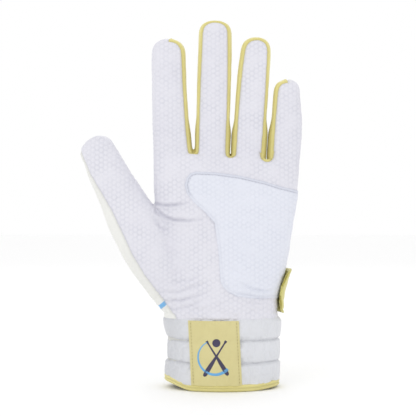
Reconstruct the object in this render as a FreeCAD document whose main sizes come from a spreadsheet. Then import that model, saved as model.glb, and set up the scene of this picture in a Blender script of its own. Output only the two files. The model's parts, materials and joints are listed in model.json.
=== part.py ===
import FreeCAD, Part

import os
import re

import Sketcher

# Left-hand batting glove: a leather palm and back with yellow side walls between the fingers,
# a padded three-channel cuff with a sewn label, and a hook-and-loop strap over the back of the wrist.
# Frame: +Z along the fingers, the palm faces -Y, the thumb points to -X. The origin is the middle
# of the cuff's mouth, on the plane that the glove stands on. Sizes are in millimetres and degrees.

DOC = FreeCAD.newDocument("BattingGlove")
SHEET = DOC.addObject("Spreadsheet::Sheet", "Sizes")

SIZES = [
    ("wall", 1.0, "thickness of the leather with its lining"),
    ("free_gap", 0.35, "free gap between pieces that move past each other"),
    ("lip", 0.6, "how far a joint's round cheek stays inside the finger's depth"),
    ("sewn_gap", 0.05, "gap between two layers that are sewn together"),
    # cuff
    ("cuff_height", 44.0, "from the mouth to the seam with the hand"),
    ("cuff_half_width", 36.0, "at the fullest part of a channel"),
    ("cuff_half_depth", 24.0, "at the fullest part of a channel"),
    ("channel_puff", 1.5, "how far a channel stands out from its quilting seam"),
    ("cuff_skin", 0.8, "outer fabric of the cuff"),
    ("lining_wall", 0.8, "inner fabric of the cuff"),
    ("foam_wall", 2.6, "foam inside a channel at its fullest"),
    ("binding_height", 4.0, "tape round the mouth"),
    ("binding_proud", 0.5, "how far the tape stands inside the lining"),
    ("binding_tuck", 0.9, "how far the tape stays inside the channels' fullest outline"),
    # hand
    ("wrist_half_width", 34.9, "hand at the cuff seam"),
    ("wrist_half_depth", 21.8, "hand at the cuff seam"),
    ("wrist_shift", -0.4, "how far the wrist's centre lies towards the little finger"),
    ("heel_height", 72.0, "height of the heel of the hand"),
    ("heel_half_width", 37.8, "hand at the heel"),
    ("heel_half_depth", 20.0, "hand at the heel"),
    ("heel_shift", 0.9, "how far the heel's centre lies towards the little finger"),
    ("palm_height", 108.0, "height of the middle of the palm"),
    ("palm_half_width", 42.0, "hand at the middle of the palm"),
    ("palm_half_depth", 16.5, "hand at the middle of the palm"),
    ("palm_shift", 2.0, "how far its centre lies towards the little finger"),
    ("web_height", 145.0, "height of the webs between the fingers"),
    ("web_half_depth", 12.6, "hand at the webs"),
    ("side_tuck", 0.9, "how far the hand's edge lies inside the outer fingers' sides"),
    ("first_side", -42.4, "place of the index finger's free side"),
    # gaps between the fingers at the webs
    ("gap_index_middle", 4.4, "index to middle finger"),
    ("gap_middle_ring", 2.2, "middle to ring finger"),
    ("gap_ring_little", 2.8, "ring to little finger"),
    # fingers: widths at the web and near the tip, depth, length and the two hinges above the web
    ("index_width", 21.4, "index finger at the web"),
    ("index_tip_width", 19.4, "index finger below its round tip"),
    ("index_depth", 17.6, "index finger, palm to back"),
    ("index_length", 74.5, "index finger, web to tip"),
    ("index_lean", -1.4, "index finger's turn towards the little finger"),
    ("index_knuckle", 11.0, "height of its knuckle hinge above the web"),
    ("index_middle_joint", 33.0, "height of its middle hinge above the web"),
    ("middle_width", 21.2, "middle finger at the web"),
    ("middle_tip_width", 19.8, "middle finger below its round tip"),
    ("middle_depth", 17.8, "middle finger, palm to back"),
    ("middle_length", 86.0, "middle finger, web to tip"),
    ("middle_lean", 1.2, "middle finger's turn towards the little finger"),
    ("middle_knuckle", 11.0, "height of its knuckle hinge above the web"),
    ("middle_middle_joint", 36.0, "height of its middle hinge above the web"),
    ("ring_width", 20.4, "ring finger at the web"),
    ("ring_tip_width", 18.6, "ring finger below its round tip"),
    ("ring_depth", 17.2, "ring finger, palm to back"),
    ("ring_length", 76.0, "ring finger, web to tip"),
    ("ring_lean", 4.4, "ring finger's turn towards the little finger"),
    ("ring_knuckle", 11.0, "height of its knuckle hinge above the web"),
    ("ring_middle_joint", 33.5, "height of its middle hinge above the web"),
    ("little_width", 19.2, "little finger at the web"),
    ("little_tip_width", 17.0, "little finger below its round tip"),
    ("little_depth", 15.6, "little finger, palm to back"),
    ("little_length", 48.6, "little finger, web to tip"),
    ("little_lean", 2.2, "little finger's turn towards the little finger"),
    ("little_knuckle", 9.5, "height of its knuckle hinge above the web"),
    ("little_middle_joint", 27.5, "height of its middle hinge above the web"),
    ("knuckle_fold", 70.0, "how far a finger folds at the knuckle"),
    ("middle_fold", 85.0, "how far a finger folds at its middle joint"),
    # thumb, in its own frame, whose origin is beside the thumb's crotch
    ("thumb_root_out", 56.2, "thumb frame's distance towards the thumb from the cuff's axis"),
    ("thumb_root_height", 107.4, "thumb frame's height"),
    ("thumb_forward", 2.0, "how far the thumb lies in front of the fingers' plane"),
    ("thumb_lean", -28.0, "the thumb's turn away from the fingers"),
    ("thumb_width", 28.0, "at the crotch"),
    ("thumb_tip_width", 20.6, "below the round tip"),
    ("thumb_depth", 18.4, "palm to back"),
    ("thumb_length", 54.5, "from the frame's origin to the tip"),
    ("thumb_knuckle", 13.0, "height of its knuckle hinge in the frame"),
    ("thumb_middle_joint", 32.5, "height of its middle hinge in the frame"),
    ("thumb_knuckle_fold", 40.0, "how far the thumb folds at its knuckle"),
    ("thumb_middle_fold", 60.0, "how far the thumb folds at its middle hinge"),
    ("ball_drop", 25.0, "thumb's ball: distance below the thumb frame's origin"),
    ("ball_half_width", 16.4, "thumb's ball at its fullest"),
    ("ball_half_depth", 15.2, "thumb's ball at its fullest"),
    ("ball_foot_drop", 51.0, "foot of the thumb's ball below the frame's origin"),
    ("ball_foot_shift", 3.0, "how far its foot lies towards the little finger"),
    ("ball_foot_half_width", 12.6, "foot of the thumb's ball"),
    ("ball_foot_half_depth", 12.0, "foot of the thumb's ball"),
    ("swell_drop", 4.0, "drop from the frame's origin to where the thumb swells into its ball"),
    ("swell_width", 0.4, "added to the thumb's half width there"),
    ("swell_depth", 1.4, "added to the thumb's half depth there"),
    ("straight_start", 1.0, "height in the frame where the thumb's straight part starts"),
    ("thumb_seam", 5.0, "how far the back leather wraps to the palm side of the thumb"),
    ("thumb_back_wrap", 32.0, "how far that wrap runs down from the thumb frame's origin"),
    ("finger_root", 14.0, "how far a finger's leather is followed down into the hand"),
    ("side_room", 30.0, "how far the side leathers' rooms reach above the webs"),
    ("roller_half_length", 30.0, "half length of the rollers that shape the finger joints"),
    ("cut_past", 0.01, "how far a cutting box reaches past the face it cuts"),
    # palm overlay and its foam
    ("overlay_wall", 0.9, "leather of the overlay"),
    ("overlay_left", -21.0, "the overlay's upper corner, thumb side"),
    ("overlay_left_height", 124.0, "height of that corner"),
    ("overlay_peak", -12.0, "its highest point"),
    ("overlay_peak_height", 135.5, "height of that point"),
    ("overlay_right_height", 122.0, "its height at the little finger side"),
    ("overlay_waist", -5.5, "where it passes the thumb's ball"),
    ("overlay_waist_height", 103.0, "height of that point"),
    ("overlay_foot", -1.0, "its lower corner"),
    ("overlay_foot_height", 62.0, "height of that corner"),
    ("overlay_right_foot_height", 57.0, "its lower height at the little finger side"),
    ("overlay_past", 10.0, "how far its outline is drawn past the side seam"),
    ("overlay_corner", 5.0, "radius of its corners"),
    ("palm_foam", 2.0, "foam behind the palm leather"),
    ("foam_corner", 2.0, "radius of the foam's corners"),
    ("foam_inset", 6.0, "how far the foam stays inside the overlay's outline"),
    # wrist closure
    ("slit_width", 5.0, "vent slit in the back leather"),
    ("slit_top", 92.0, "height of the slit's round end"),
    ("gusset_wall", 0.6, "stretch cloth behind the slit"),
    ("gusset_foot", 1.0, "how far the cloth's foot lies above the cuff"),
    ("gusset_half_width", 8.0, "that cloth to each side of the slit"),
    ("elastic_wall", 0.9, "elastic tape inside the wrist"),
    ("elastic_side", 4.0, "how far the elastic stays in front of the middle plane"),
    ("elastic_low", 47.0, "lower edge of the elastic"),
    ("elastic_high", 55.0, "upper edge of the elastic"),
    ("strap_low", 46.5, "lower edge of the strap"),
    ("strap_high", 74.5, "upper edge of the strap"),
    ("strap_wall", 1.6, "thickness of the strap"),
    ("patch_wall", 0.9, "hook patch and loop patch, each"),
    ("patch_inset", 3.0, "how far a patch stays inside the strap's edges"),
    ("loop_slit_gap", 2.0, "how far the loop patch starts beside the slit"),
    ("loop_past_tab", 10.0, "how far the loop patch runs past the tab's start"),
    ("hook_end_gap", 1.0, "how far a hook patch stays from the fold between strap and tab"),
    ("tab_hook_reach", 9.0, "how far the tab's hook patch runs past the tab's start"),
    ("anchor_start", -31.0, "sewn end of the strap, thumb side"),
    ("strap_start", -25.0, "where the strap lifts from its sewn end"),
    ("tab_start", 20.0, "where the pull tab lifts from the strap"),
    ("tab_wrap", 9.0, "how far the tab wraps to the palm side"),
    # label
    ("label_left", -20.6, "the label's thumb side"),
    ("label_right", 10.8, "the label's little finger side"),
    ("label_wall", 0.8, "woven label"),
    ("label_top_margin", 0.8, "cuff cloth left showing above the label"),
    ("tag_wall", 0.4, "size tag inside the cuff"),
    ("tag_half_width", 8.0, "the tag to each side"),
    ("tag_low", 8.0, "lower edge of the tag"),
    ("tag_high", 22.0, "upper edge of the tag"),
]

ALIASES = {alias for alias, _, _ in SIZES}
PIECES = []

for row, (alias, value, meaning) in enumerate(SIZES, start=1):
    SHEET.set(f"A{row}", alias)
    SHEET.set(f"B{row}", str(value))
    SHEET.set(f"C{row}", meaning)
    SHEET.setAlias(f"B{row}", alias)
DOC.recompute()


def sized(text):
    """The expression with every alias read from the sheet."""
    return re.sub(r"[a-z_]+", lambda m: "Sizes." + m[0] if m[0] in ALIASES else m[0], text)


def bind(thing, **formulas):
    """Ties properties to the sheet; a double underscore stands for a dot."""
    for name, text in formulas.items():
        thing.setExpression(name.replace("__", "."), sized(text))
    return thing


# Shapes whose sizes are formulas over the sheet


def make(kind, name):
    return DOC.addObject("Part::" + kind, name)


def ellipse(name, x, z, half_width, half_depth):
    return bind(
        make("Ellipse", name),
        MajorRadius=half_width,
        MinorRadius=half_depth,
        Placement__Base__x=x,
        Placement__Base__z=z,
    )


def loft(name, sections):
    """A solid through level ellipses, each given as (centre x, height, half width, half depth)."""
    solid = make("Loft", name)
    solid.Sections = [ellipse(name + "_section", *section) for section in sections]
    solid.Solid = True
    solid.Ruled = True
    return solid


def at(x, y, z, lean="0", axis="0; 1; 0"):
    """Formula for a placement: a point, and a turn about an axis."""
    turn = f"create(<<rotation>>; create(<<vector>>; {axis}); {lean})"
    return f"create(<<placement>>; create(<<vector>>; {x}; {y}; {z}); {turn})"


def box(name, x, y, z, within=None):
    """A box from three (low, high) pairs of formulas, in the frame of the placement within."""
    corner = at(x[0], y[0], z[0])
    return bind(
        make("Box", name),
        Length=f"({x[1]}) - ({x[0]})",
        Width=f"({y[1]}) - ({y[0]})",
        Height=f"({z[1]}) - ({z[0]})",
        Placement=f"{within} * {corner}" if within else corner,
    )


def cross_cylinder(name, height, radius):
    """A cylinder along X, for a finger's joint."""
    roller = make("Cylinder", name)
    roller.Placement.Rotation = FreeCAD.Rotation(FreeCAD.Vector(0, 1, 0), 90)
    return bind(
        roller,
        Radius=radius,
        Height="2 * roller_half_length",
        Placement__Base__x="-roller_half_length",
        Placement__Base__z=height,
    )


def fuse(name, *shapes):
    if len(shapes) == 1:
        return shapes[0]
    joined = make("MultiFuse", name)
    joined.Shapes = list(shapes)
    return joined


def cut(name, base, *tools):
    result = make("Cut", name)
    result.Base = base
    result.Tool = fuse(name + "_tools", *tools)
    return result


def common(name, base, *tools):
    result = make("Common", name)
    result.Base = base
    result.Tool = fuse(name + "_tools", *tools)
    return result


def placed(thing, frame):
    """Moves a shape from a finger's own frame to the glove's."""
    return bind(thing, Placement=frame)


def piece(label, thing):
    """Names a finished sub-part and lists it for export."""
    thing.Label = label
    PIECES.append(thing)
    return thing


FAR = "200"
ALL = (f"-{FAR}", FAR)


# Fingers and thumb: each in its own frame, its origin at the web and +Z along the finger

FINGERS = ["index", "middle", "ring", "little"]
GAPS = ["gap_index_middle", "gap_middle_ring", "gap_ring_little"]


def finger_centre(number):
    """Formula for a finger's middle at the webs: the widths and gaps before it, added up."""
    text = f"first_side + {FINGERS[number]}_width / 2"
    for before in range(number):
        text += f" + {FINGERS[before]}_width + {GAPS[before]}"
    return text


LAST_SIDE = finger_centre(3) + " + little_width / 2"
FRAMES = {
    name: at(finger_centre(number), "0", "web_height", f"{name}_lean")
    for number, name in enumerate(FINGERS)
}
FRAMES["thumb"] = at("-thumb_root_out", "-thumb_forward", "thumb_root_height", "thumb_lean")

# A finger's seams lie on the diagonals of its section.
DIAGONAL = "0.7071"

# The round tip: share of its height, and share of the finger's width and depth left there.
DOME = ((0.42, 0.9), (0.72, 0.69), (0.92, 0.39), (1.0, 0.16))

# Which of the four arcs of a finger's section each leather piece takes. The index finger's free side
# and the little finger's are part of the palm leather; the thumb's outer side is back leather.
ARCS = {
    "index": {"front": ["front", "low"], "back": ["back"], "fourchette": ["high"]},
    "middle": {
        "front": ["front"],
        "back": ["back"],
        "fourchette_index_side": ["low"],
        "fourchette_ring_side": ["high"],
    },
    "ring": {
        "front": ["front"],
        "back": ["back"],
        "fourchette_middle_side": ["low"],
        "fourchette_little_side": ["high"],
    },
    "little": {"front": ["front", "high"], "back": ["back"], "fourchette": ["low"]},
    "thumb": {"front": ["front", "high"], "back": ["back", "low"]},
}


def seam(name):
    """Formula for the distance of a finger's seams from its middle plane."""
    return f"({name}_depth / 2 - wall) * {DIAGONAL}"


def arc_box(name, arc, label):
    low, high = f"-({seam(name)})", seam(name)
    spans = {
        "front": (ALL, (f"-{FAR}", low)),
        "back": (ALL, (high, FAR)),
        "low": ((f"-{FAR}", "0"), (low, high)),
        "high": (("0", FAR), (low, high)),
    }
    x, y = spans[arc]
    return box(f"{label}_{arc}_span", x, y, ALL)


def finger_solid(name, inset, label):
    """A finger from inside the hand to its round tip. inset makes the cavity of the same finger."""
    dome = f"{name}_tip_width / 2"
    shoulder = f"{name}_length - {dome}"
    depth = f"{name}_depth / 2 - {inset}"
    sections = [
        ("0", "-finger_root", f"{name}_width / 2 - {inset}", depth),
        ("0", "0", f"{name}_width / 2 - {inset}", depth),
        ("0", shoulder, f"{name}_tip_width / 2 - {inset}", depth),
    ]
    for share, size in DOME:
        sections.append(
            (
                "0",
                f"{shoulder} + ({dome} - {inset}) * {share}",
                f"({name}_tip_width / 2 - {inset}) * {size}",
                f"({depth}) * {size}",
            )
        )
    return loft(label, sections)


def below_hinge(name, hinge, label):
    """What a finger keeps below a hinge: all that is under it, and round cheeks about its axis."""
    under = box(f"{label}_under", ALL, ALL, (f"-{FAR}", hinge))
    cheeks = cross_cylinder(f"{label}_cheeks", hinge, f"{name}_depth / 2 - lip")
    return fuse(f"{label}_keep", under, cheeks)


def above_hinge(name, hinge, fold, label):
    """What is taken from the segment above a hinge: the cheeks' room, and the lower segment's
    place as the finger folds, which opens a short gap on the palm side only."""
    under = box(f"{label}_foot", ALL, ALL, (f"-{FAR}", f"{hinge} + free_gap"))
    room = cross_cylinder(f"{label}_room", hinge, f"{name}_depth / 2 - lip + free_gap")
    reach = f"{name}_depth / 2 + free_gap"
    folded = at("0", "0", hinge, f"-{fold}", "1; 0; 0")
    swept = box(f"{label}_swept", ALL, (f"-({reach})", reach), (f"-2 * ({reach})", "0"), folded)
    return fuse(f"{label}_clear", under, room, swept)


def finger_segments(name):
    """The base and tip segments of a finger, each split along its seams into its leather pieces."""
    knuckle, middle = f"{name}_knuckle", f"{name}_middle_joint"
    folds = ("knuckle_fold", "middle_fold")
    if name == "thumb":
        folds = ("thumb_knuckle_fold", "thumb_middle_fold")
    shell = cut(
        f"{name}_shell",
        finger_solid(name, "0", f"{name}_outside"),
        finger_solid(name, "wall", f"{name}_inside"),
    )
    base = common(
        f"{name}_base",
        cut(f"{name}_base_cut", shell, above_hinge(name, knuckle, folds[0], f"{name}_base")),
        below_hinge(name, middle, f"{name}_base_top"),
    )
    tip = cut(f"{name}_tip", shell, above_hinge(name, middle, folds[1], f"{name}_tip"))
    for part, tube in (("base", base), ("tip", tip)):
        for leather, arcs in ARCS[name].items():
            label = f"{name}_{part}_{leather}"
            spans = [arc_box(name, arc, label) for arc in arcs]
            piece(label, placed(common(label + "_leather", tube, *spans), FRAMES[name]))


# Hand


CAVITY_TOP = "web_height - wall"


def hand_loft(label, inset, top="web_height"):
    """The hand without its fingers; a negative inset gives the surface of a layer on top of it."""
    half = f"(({LAST_SIDE}) - first_side) / 2 - side_tuck"
    middle = f"(({LAST_SIDE}) + first_side) / 2"
    levels = [
        ("wrist_shift", "cuff_height + free_gap", "wrist_half_width", "wrist_half_depth"),
        ("heel_shift", "heel_height", "heel_half_width", "heel_half_depth"),
        ("palm_shift", "palm_height", "palm_half_width", "palm_half_depth"),
        (middle, top, half, "web_half_depth"),
    ]
    sections = [(x, z, f"{wide} - ({inset})", f"{deep} - ({inset})") for x, z, wide, deep in levels]
    return loft(label, sections)


def thumb_root(label, inset):
    """The ball of the thumb up to the thumb's own straight part, in the thumb's frame."""
    levels = [
        ("ball_foot_shift", "-ball_foot_drop", "ball_foot_half_width", "ball_foot_half_depth"),
        ("0", "-ball_drop", "ball_half_width", "ball_half_depth"),
        ("0", "-swell_drop", "thumb_width / 2 + swell_width", "thumb_depth / 2 + swell_depth"),
        ("0", "straight_start", "thumb_width / 2", "thumb_depth / 2"),
        ("0", "thumb_length - thumb_tip_width / 2", "thumb_tip_width / 2", "thumb_depth / 2"),
    ]
    return loft(label, [(x, z, f"{wide} - {inset}", f"{deep} - {inset}") for x, z, wide, deep in levels])


def hand_shell():
    """The hand's leather as one hollow: palm, ball of the thumb, and a stub for each finger."""
    outside = [hand_loft("hand_outside", "0")]
    inside = [hand_loft("hand_inside", "wall", CAVITY_TOP)]
    for name in FINGERS:
        stub = common(
            f"{name}_stub",
            finger_solid(name, "0", f"{name}_stub_outside"),
            below_hinge(name, f"{name}_knuckle", f"{name}_stub"),
        )
        outside.append(placed(stub, FRAMES[name]))
        inside.append(placed(finger_solid(name, "wall", f"{name}_stub_inside"), FRAMES[name]))
    thumb = common(
        "thumb_stub",
        thumb_root("thumb_root_outside", "0"),
        below_hinge("thumb", "thumb_knuckle", "thumb_stub"),
    )
    outside.append(placed(thumb, FRAMES["thumb"]))
    inside.append(placed(thumb_root("thumb_root_inside", "wall"), FRAMES["thumb"]))
    return cut("hand_shell", fuse("hand_whole", *outside), fuse("hand_cavity", *inside))


def web_box(number, label):
    """Room of the fourchette between two fingers: from one finger's middle to the next one's."""
    left, right = FINGERS[number], FINGERS[number + 1]
    depth = f"min({seam(left)}; {seam(right)})"
    return box(
        label,
        (finger_centre(number), finger_centre(number + 1)),
        (f"-({depth})", depth),
        ("web_height - wall - cut_past", "web_height + side_room"),
    )


def outer_side_box(number, label):
    """Room of the palm leather that wraps to the back on a finger with a free side."""
    name = FINGERS[number]
    x = (f"-{FAR}", finger_centre(number)) if number == 0 else (finger_centre(number), FAR)
    return box(label, x, ("0", seam(name)), ("web_height - wall", "web_height + side_room"))


def slit_tool(label):
    """The vent slit: a straight slot with a round end, through the back leather."""
    slot = box(label + "_slot", ("-slit_width / 2", "slit_width / 2"), ("0", FAR), ("0", "slit_top"))
    end = make("Cylinder", label + "_end")
    end.Placement.Rotation = FreeCAD.Rotation(FreeCAD.Vector(1, 0, 0), -90)
    bind(end, Radius="slit_width / 2", Height=FAR, Placement__Base__z="slit_top")
    return fuse(label, slot, end)


def hand_pieces():
    shell = hand_shell()
    palm_side = box("palm_side", ALL, (f"-{FAR}", "0"), ALL)
    back_side = box("back_side", ALL, ("0", FAR), ALL)
    webs = [web_box(number, f"web_room_{number}") for number in range(3)]
    sides = [outer_side_box(0, "index_side_room"), outer_side_box(3, "little_side_room")]
    thumb_side = box(
        "thumb_side_room",
        (f"-{FAR}", "-thumb_width / 4"),
        ("-thumb_seam + thumb_forward", "thumb_forward"),
        ("-thumb_back_wrap", FAR),
        FRAMES["thumb"],
    )
    palm_region = cut("palm_region", fuse("palm_room", palm_side, *sides), thumb_side, *webs)
    back_region = cut("back_region", fuse("back_room", back_side, thumb_side), *sides, *webs)
    piece("palm_panel", common("palm_leather", shell, palm_region))
    back = common("back_leather", shell, back_region)
    piece("back_panel", cut("back_with_slit", back, slit_tool("slit")))
    for number, web in enumerate(webs):
        left, right = FINGERS[number], FINGERS[number + 1]
        piece(f"web_fourchette_{left}_{right}", common(f"web_leather_{number}", shell, web))


def layer(label, inner, outer, *regions, top="web_height"):
    """A thin layer that follows the hand's surface between two distances outside it, within regions."""
    skin = cut(
        label + "_layer",
        hand_loft(label + "_outside", f"-({outer})", top),
        hand_loft(label + "_inside", f"-({inner})", top),
    )
    for number, region in enumerate(regions):
        skin = common(f"{label}_{number}", skin, region)
    return piece(label, skin)


# Palm overlay


def overlay_prism(label, inset, corner):
    """The overlay's outline, seen from the palm side, pushed through the palm, its corners rounded.
    It runs past the palm's little finger side, where the overlay ends in the side seam."""
    past = "palm_half_width + palm_shift + overlay_past"
    corners = [
        (f"overlay_left + {inset}", "overlay_left_height"),
        ("overlay_peak", f"overlay_peak_height - {inset}"),
        (past, f"overlay_right_height - {inset}"),
        (past, f"overlay_right_foot_height + {inset}"),
        (f"overlay_foot + {inset}", f"overlay_foot_height + {inset}"),
        (f"overlay_waist + {inset}", "overlay_waist_height"),
    ]
    sketch = DOC.addObject("Sketcher::SketchObject", label + "_outline")
    sketch.Placement.Rotation = FreeCAD.Rotation(FreeCAD.Vector(1, 0, 0), 90)
    count = len(corners)
    start = [FreeCAD.Vector(10 * (i % 3), 10 * i, 0) for i in range(count)]
    for i in range(count):
        sketch.addGeometry(Part.LineSegment(start[i], start[(i + 1) % count]), False)
    for i in range(count):
        sketch.addConstraint(Sketcher.Constraint("Coincident", i, 2, (i + 1) % count, 1))
    for i, (x, z) in enumerate(corners):
        across = sketch.addConstraint(Sketcher.Constraint("DistanceX", -1, 1, i, 1, start[i].x))
        up = sketch.addConstraint(Sketcher.Constraint("DistanceY", -1, 1, i, 1, start[i].y))
        sketch.setExpression(f"Constraints[{across}]", sized(x))
        sketch.setExpression(f"Constraints[{up}]", sized(z))
    prism = make("Extrusion", label + "_prism")
    prism.Base = sketch
    prism.DirMode = "Custom"
    prism.Dir = FreeCAD.Vector(0, -1, 0)
    prism.Solid = True
    bind(prism, LengthFwd="2 * palm_half_width")
    DOC.recompute()
    right = prism.Shape.BoundBox.XMax - 1
    through = [
        number
        for number, edge in enumerate(prism.Shape.Edges, start=1)
        if abs(edge.tangentAt(edge.FirstParameter).y) > 0.99 and edge.BoundBox.XMax < right
    ]
    radius = SHEET.get(corner)
    rounded = make("Fillet", label + "_rounded")
    rounded.Base = prism
    rounded.Edges = [(number, radius, radius) for number in through]
    return rounded


def inner_layer(label, thickness, *regions):
    """A layer sewn to the inside of the leather."""
    inner = f"-wall - sewn_gap - {thickness}"
    return layer(label, inner, "-wall - sewn_gap", *regions, top=CAVITY_TOP)


def palm_layers():
    outline = overlay_prism("overlay", "0", "overlay_corner")
    layer("palm_overlay", "sewn_gap", "sewn_gap + overlay_wall", outline)
    edge = box("foam_edge", (f"-{FAR}", "palm_half_width - foam_inset"), ALL, ALL)
    foam = overlay_prism("foam", "foam_inset", "foam_corner")
    inner_layer("palm_foam_pad", "palm_foam", foam, edge)
    elastic = box("elastic_room", ALL, (f"-{FAR}", "-elastic_side"), ("elastic_low", "elastic_high"))
    inner_layer("wrist_elastic", "elastic_wall", elastic)
    gusset = box(
        "gusset_room",
        ("-gusset_half_width", "gusset_half_width"),
        ("0", FAR),
        ("cuff_height + gusset_foot", "slit_top + gusset_half_width"),
    )
    inner_layer("slit_gusset", "gusset_wall", gusset)


# Strap over the back of the wrist


def strap_pieces():
    loop_top = "sewn_gap + patch_wall"
    strap_foot = f"{loop_top} + free_gap + patch_wall"
    height = ("strap_low", "strap_high")
    patch_height = ("strap_low + patch_inset", "strap_high - patch_inset")
    loop = ("slit_width / 2 + loop_slit_gap", "tab_start + loop_past_tab")
    band_hook = ("slit_width / 2 + patch_inset", "tab_start - hook_end_gap")
    tab_hook = ("tab_start + free_gap + hook_end_gap", "tab_start + tab_hook_reach")
    layer(
        "loop_patch",
        "sewn_gap",
        loop_top,
        box("loop_room", loop, ("0", FAR), patch_height),
    )
    layer(
        "strap_anchor",
        "sewn_gap",
        f"{strap_foot} + strap_wall",
        box("anchor_room", ("anchor_start", "strap_start - free_gap"), ("0", FAR), height),
    )
    layer(
        "strap_band",
        strap_foot,
        f"{strap_foot} + strap_wall",
        box("band_room", ("strap_start", "tab_start"), ("0", FAR), height),
    )
    layer(
        "strap_hook_patch",
        f"{loop_top} + free_gap",
        strap_foot,
        box("band_hook_room", band_hook, ("0", FAR), patch_height),
    )
    layer(
        "pull_tab",
        strap_foot,
        f"{strap_foot} + strap_wall",
        box("tab_room", ("tab_start + free_gap", FAR), ("-tab_wrap", FAR), height),
    )
    layer(
        "tab_hook_patch",
        f"{loop_top} + free_gap",
        strap_foot,
        box("tab_hook_room", tab_hook, ("0", FAR), patch_height),
    )


# Cuff: two layers of cloth with foam between them, sewn into three channels round the wrist

CHANNEL = "(cuff_height - binding_height) / 3"
FLEX_START = f"binding_height + 2 * {CHANNEL}"


def cuff_solid(label, inset, low, count):
    """The cuff's outside over count channels that start at height low: full, then a seam, and so on."""
    sections = []
    for number in range(2 * count + 1):
        puff = "channel_puff" if number % 2 == 0 else "0"
        sections.append(
            (
                "0",
                f"{low} + {number} * {CHANNEL} / 2",
                f"cuff_half_width - {puff} - {inset}",
                f"cuff_half_depth - {puff} - {inset}",
            )
        )
    return loft(label, sections)


def oval_tube(label, outer_inset, inner_inset, low, high):
    """A straight oval tube; insets count from the cuff's fullest outline."""
    walls = [
        loft(
            f"{label}_{number}",
            [("0", z, f"cuff_half_width - ({inset})", f"cuff_half_depth - ({inset})") for z in (low, high)],
        )
        for number, inset in enumerate((outer_inset, inner_inset))
    ]
    return cut(label, *walls)


def cuff_pieces():
    lining_out = "cuff_skin + foam_wall"
    lining_in = f"{lining_out} + lining_wall"
    parts = (("cuff", "binding_height", 2, FLEX_START), ("wrist", FLEX_START, 1, "cuff_height"))
    for name, low, count, high in parts:
        whole = cuff_solid(f"{name}_outside", "0", low, count)
        core = cuff_solid(f"{name}_core", "cuff_skin", low, count)
        foam_hole = loft(
            f"{name}_foam_hole",
            [
                ("0", z, f"cuff_half_width - ({lining_out})", f"cuff_half_depth - ({lining_out})")
                for z in (low, high)
            ],
        )
        piece(f"{name}_channel_skin", cut(f"{name}_skin_cloth", whole, core))
        piece(f"{name}_channel_foam", cut(f"{name}_foam", core, foam_hole))
        piece(f"{name}_lining", oval_tube(f"{name}_lining_cloth", lining_out, lining_in, low, high))
    piece(
        "cuff_binding",
        oval_tube("binding_tape", "binding_tuck", f"{lining_in} + binding_proud", "0", "binding_height"),
    )
    label_room = box(
        "label_room",
        ("label_left", "label_right"),
        (f"-{FAR}", "0"),
        ("binding_height", "cuff_height - label_top_margin"),
    )
    band = oval_tube("label_band", "-sewn_gap - label_wall", "-sewn_gap", "0", "cuff_height")
    piece("wrist_label", common("label_cloth", band, label_room))
    tag_out = f"{lining_in} + sewn_gap"
    tag_room = box("tag_room", ("-tag_half_width", "tag_half_width"), ("0", FAR), ("tag_low", "tag_high"))
    tag_band = oval_tube("tag_band", tag_out, f"{tag_out} + tag_wall", "0", "cuff_height")
    piece("size_tag", common("tag_cloth", tag_band, tag_room))


def write_parts():
    """Recomputes, refuses a failed object or a shape that isn't sound, and writes the STEP files."""
    DOC.recompute()
    failed = [o.Name for o in DOC.Objects if {"Invalid", "Error"} & set(o.State)]
    if failed:
        raise RuntimeError(f"these objects failed: {failed}")
    for thing in PIECES:
        if thing.Shape.isNull() or not thing.Shape.isValid() or not thing.Shape.Solids:
            raise RuntimeError(f"{thing.Label} has no sound shape")
    os.makedirs("parts", exist_ok=True)
    for thing in PIECES:
        thing.Shape.exportStep(os.path.join("parts", thing.Label + ".step"))
    print(len(PIECES), "parts")


hand_pieces()
for finger in FINGERS + ["thumb"]:
    finger_segments(finger)
palm_layers()
strap_pieces()
cuff_pieces()
write_parts()
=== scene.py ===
import json
import math

import bmesh
import bpy
from mathutils import Matrix, Vector, kdtree, noise
from mathutils.bvhtree import BVHTree


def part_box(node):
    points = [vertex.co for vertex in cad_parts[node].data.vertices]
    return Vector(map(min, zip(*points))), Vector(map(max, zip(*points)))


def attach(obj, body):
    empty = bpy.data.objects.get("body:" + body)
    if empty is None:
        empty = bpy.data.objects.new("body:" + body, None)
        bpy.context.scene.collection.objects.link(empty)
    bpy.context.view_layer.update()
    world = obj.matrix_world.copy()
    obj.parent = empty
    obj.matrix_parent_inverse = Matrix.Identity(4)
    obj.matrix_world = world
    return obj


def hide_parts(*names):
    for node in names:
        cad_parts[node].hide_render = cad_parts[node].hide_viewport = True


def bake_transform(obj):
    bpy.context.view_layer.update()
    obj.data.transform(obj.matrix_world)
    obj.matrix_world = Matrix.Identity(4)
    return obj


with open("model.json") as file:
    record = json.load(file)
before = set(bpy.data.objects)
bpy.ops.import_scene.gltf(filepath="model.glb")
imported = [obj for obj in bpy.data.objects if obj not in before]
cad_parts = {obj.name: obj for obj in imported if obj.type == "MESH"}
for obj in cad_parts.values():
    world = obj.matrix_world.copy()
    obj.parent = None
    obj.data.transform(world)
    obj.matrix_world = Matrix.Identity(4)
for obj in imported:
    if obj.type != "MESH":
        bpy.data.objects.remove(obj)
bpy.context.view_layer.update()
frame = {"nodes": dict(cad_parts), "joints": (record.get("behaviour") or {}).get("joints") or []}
mm = 0.001
scene = bpy.context.scene

# places read from the frame

joints = {joint["name"]: joint for joint in frame["joints"]}
nodeNames = list(frame["nodes"])
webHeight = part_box("web_fourchette_index_middle")[0].z + 1 * mm
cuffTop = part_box("wrist_channel_skin")[1].z
wristBlend = (Vector((0, 0, 28 * mm)), Vector((0, 0, 46 * mm)))
wristBodies = ("cuff", "hand")
front, behind = Vector((0, -1, 0)), Vector((0, 1, 0))
thumbRise = 13 * mm  # the thumb's knuckle above its frame's origin


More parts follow.
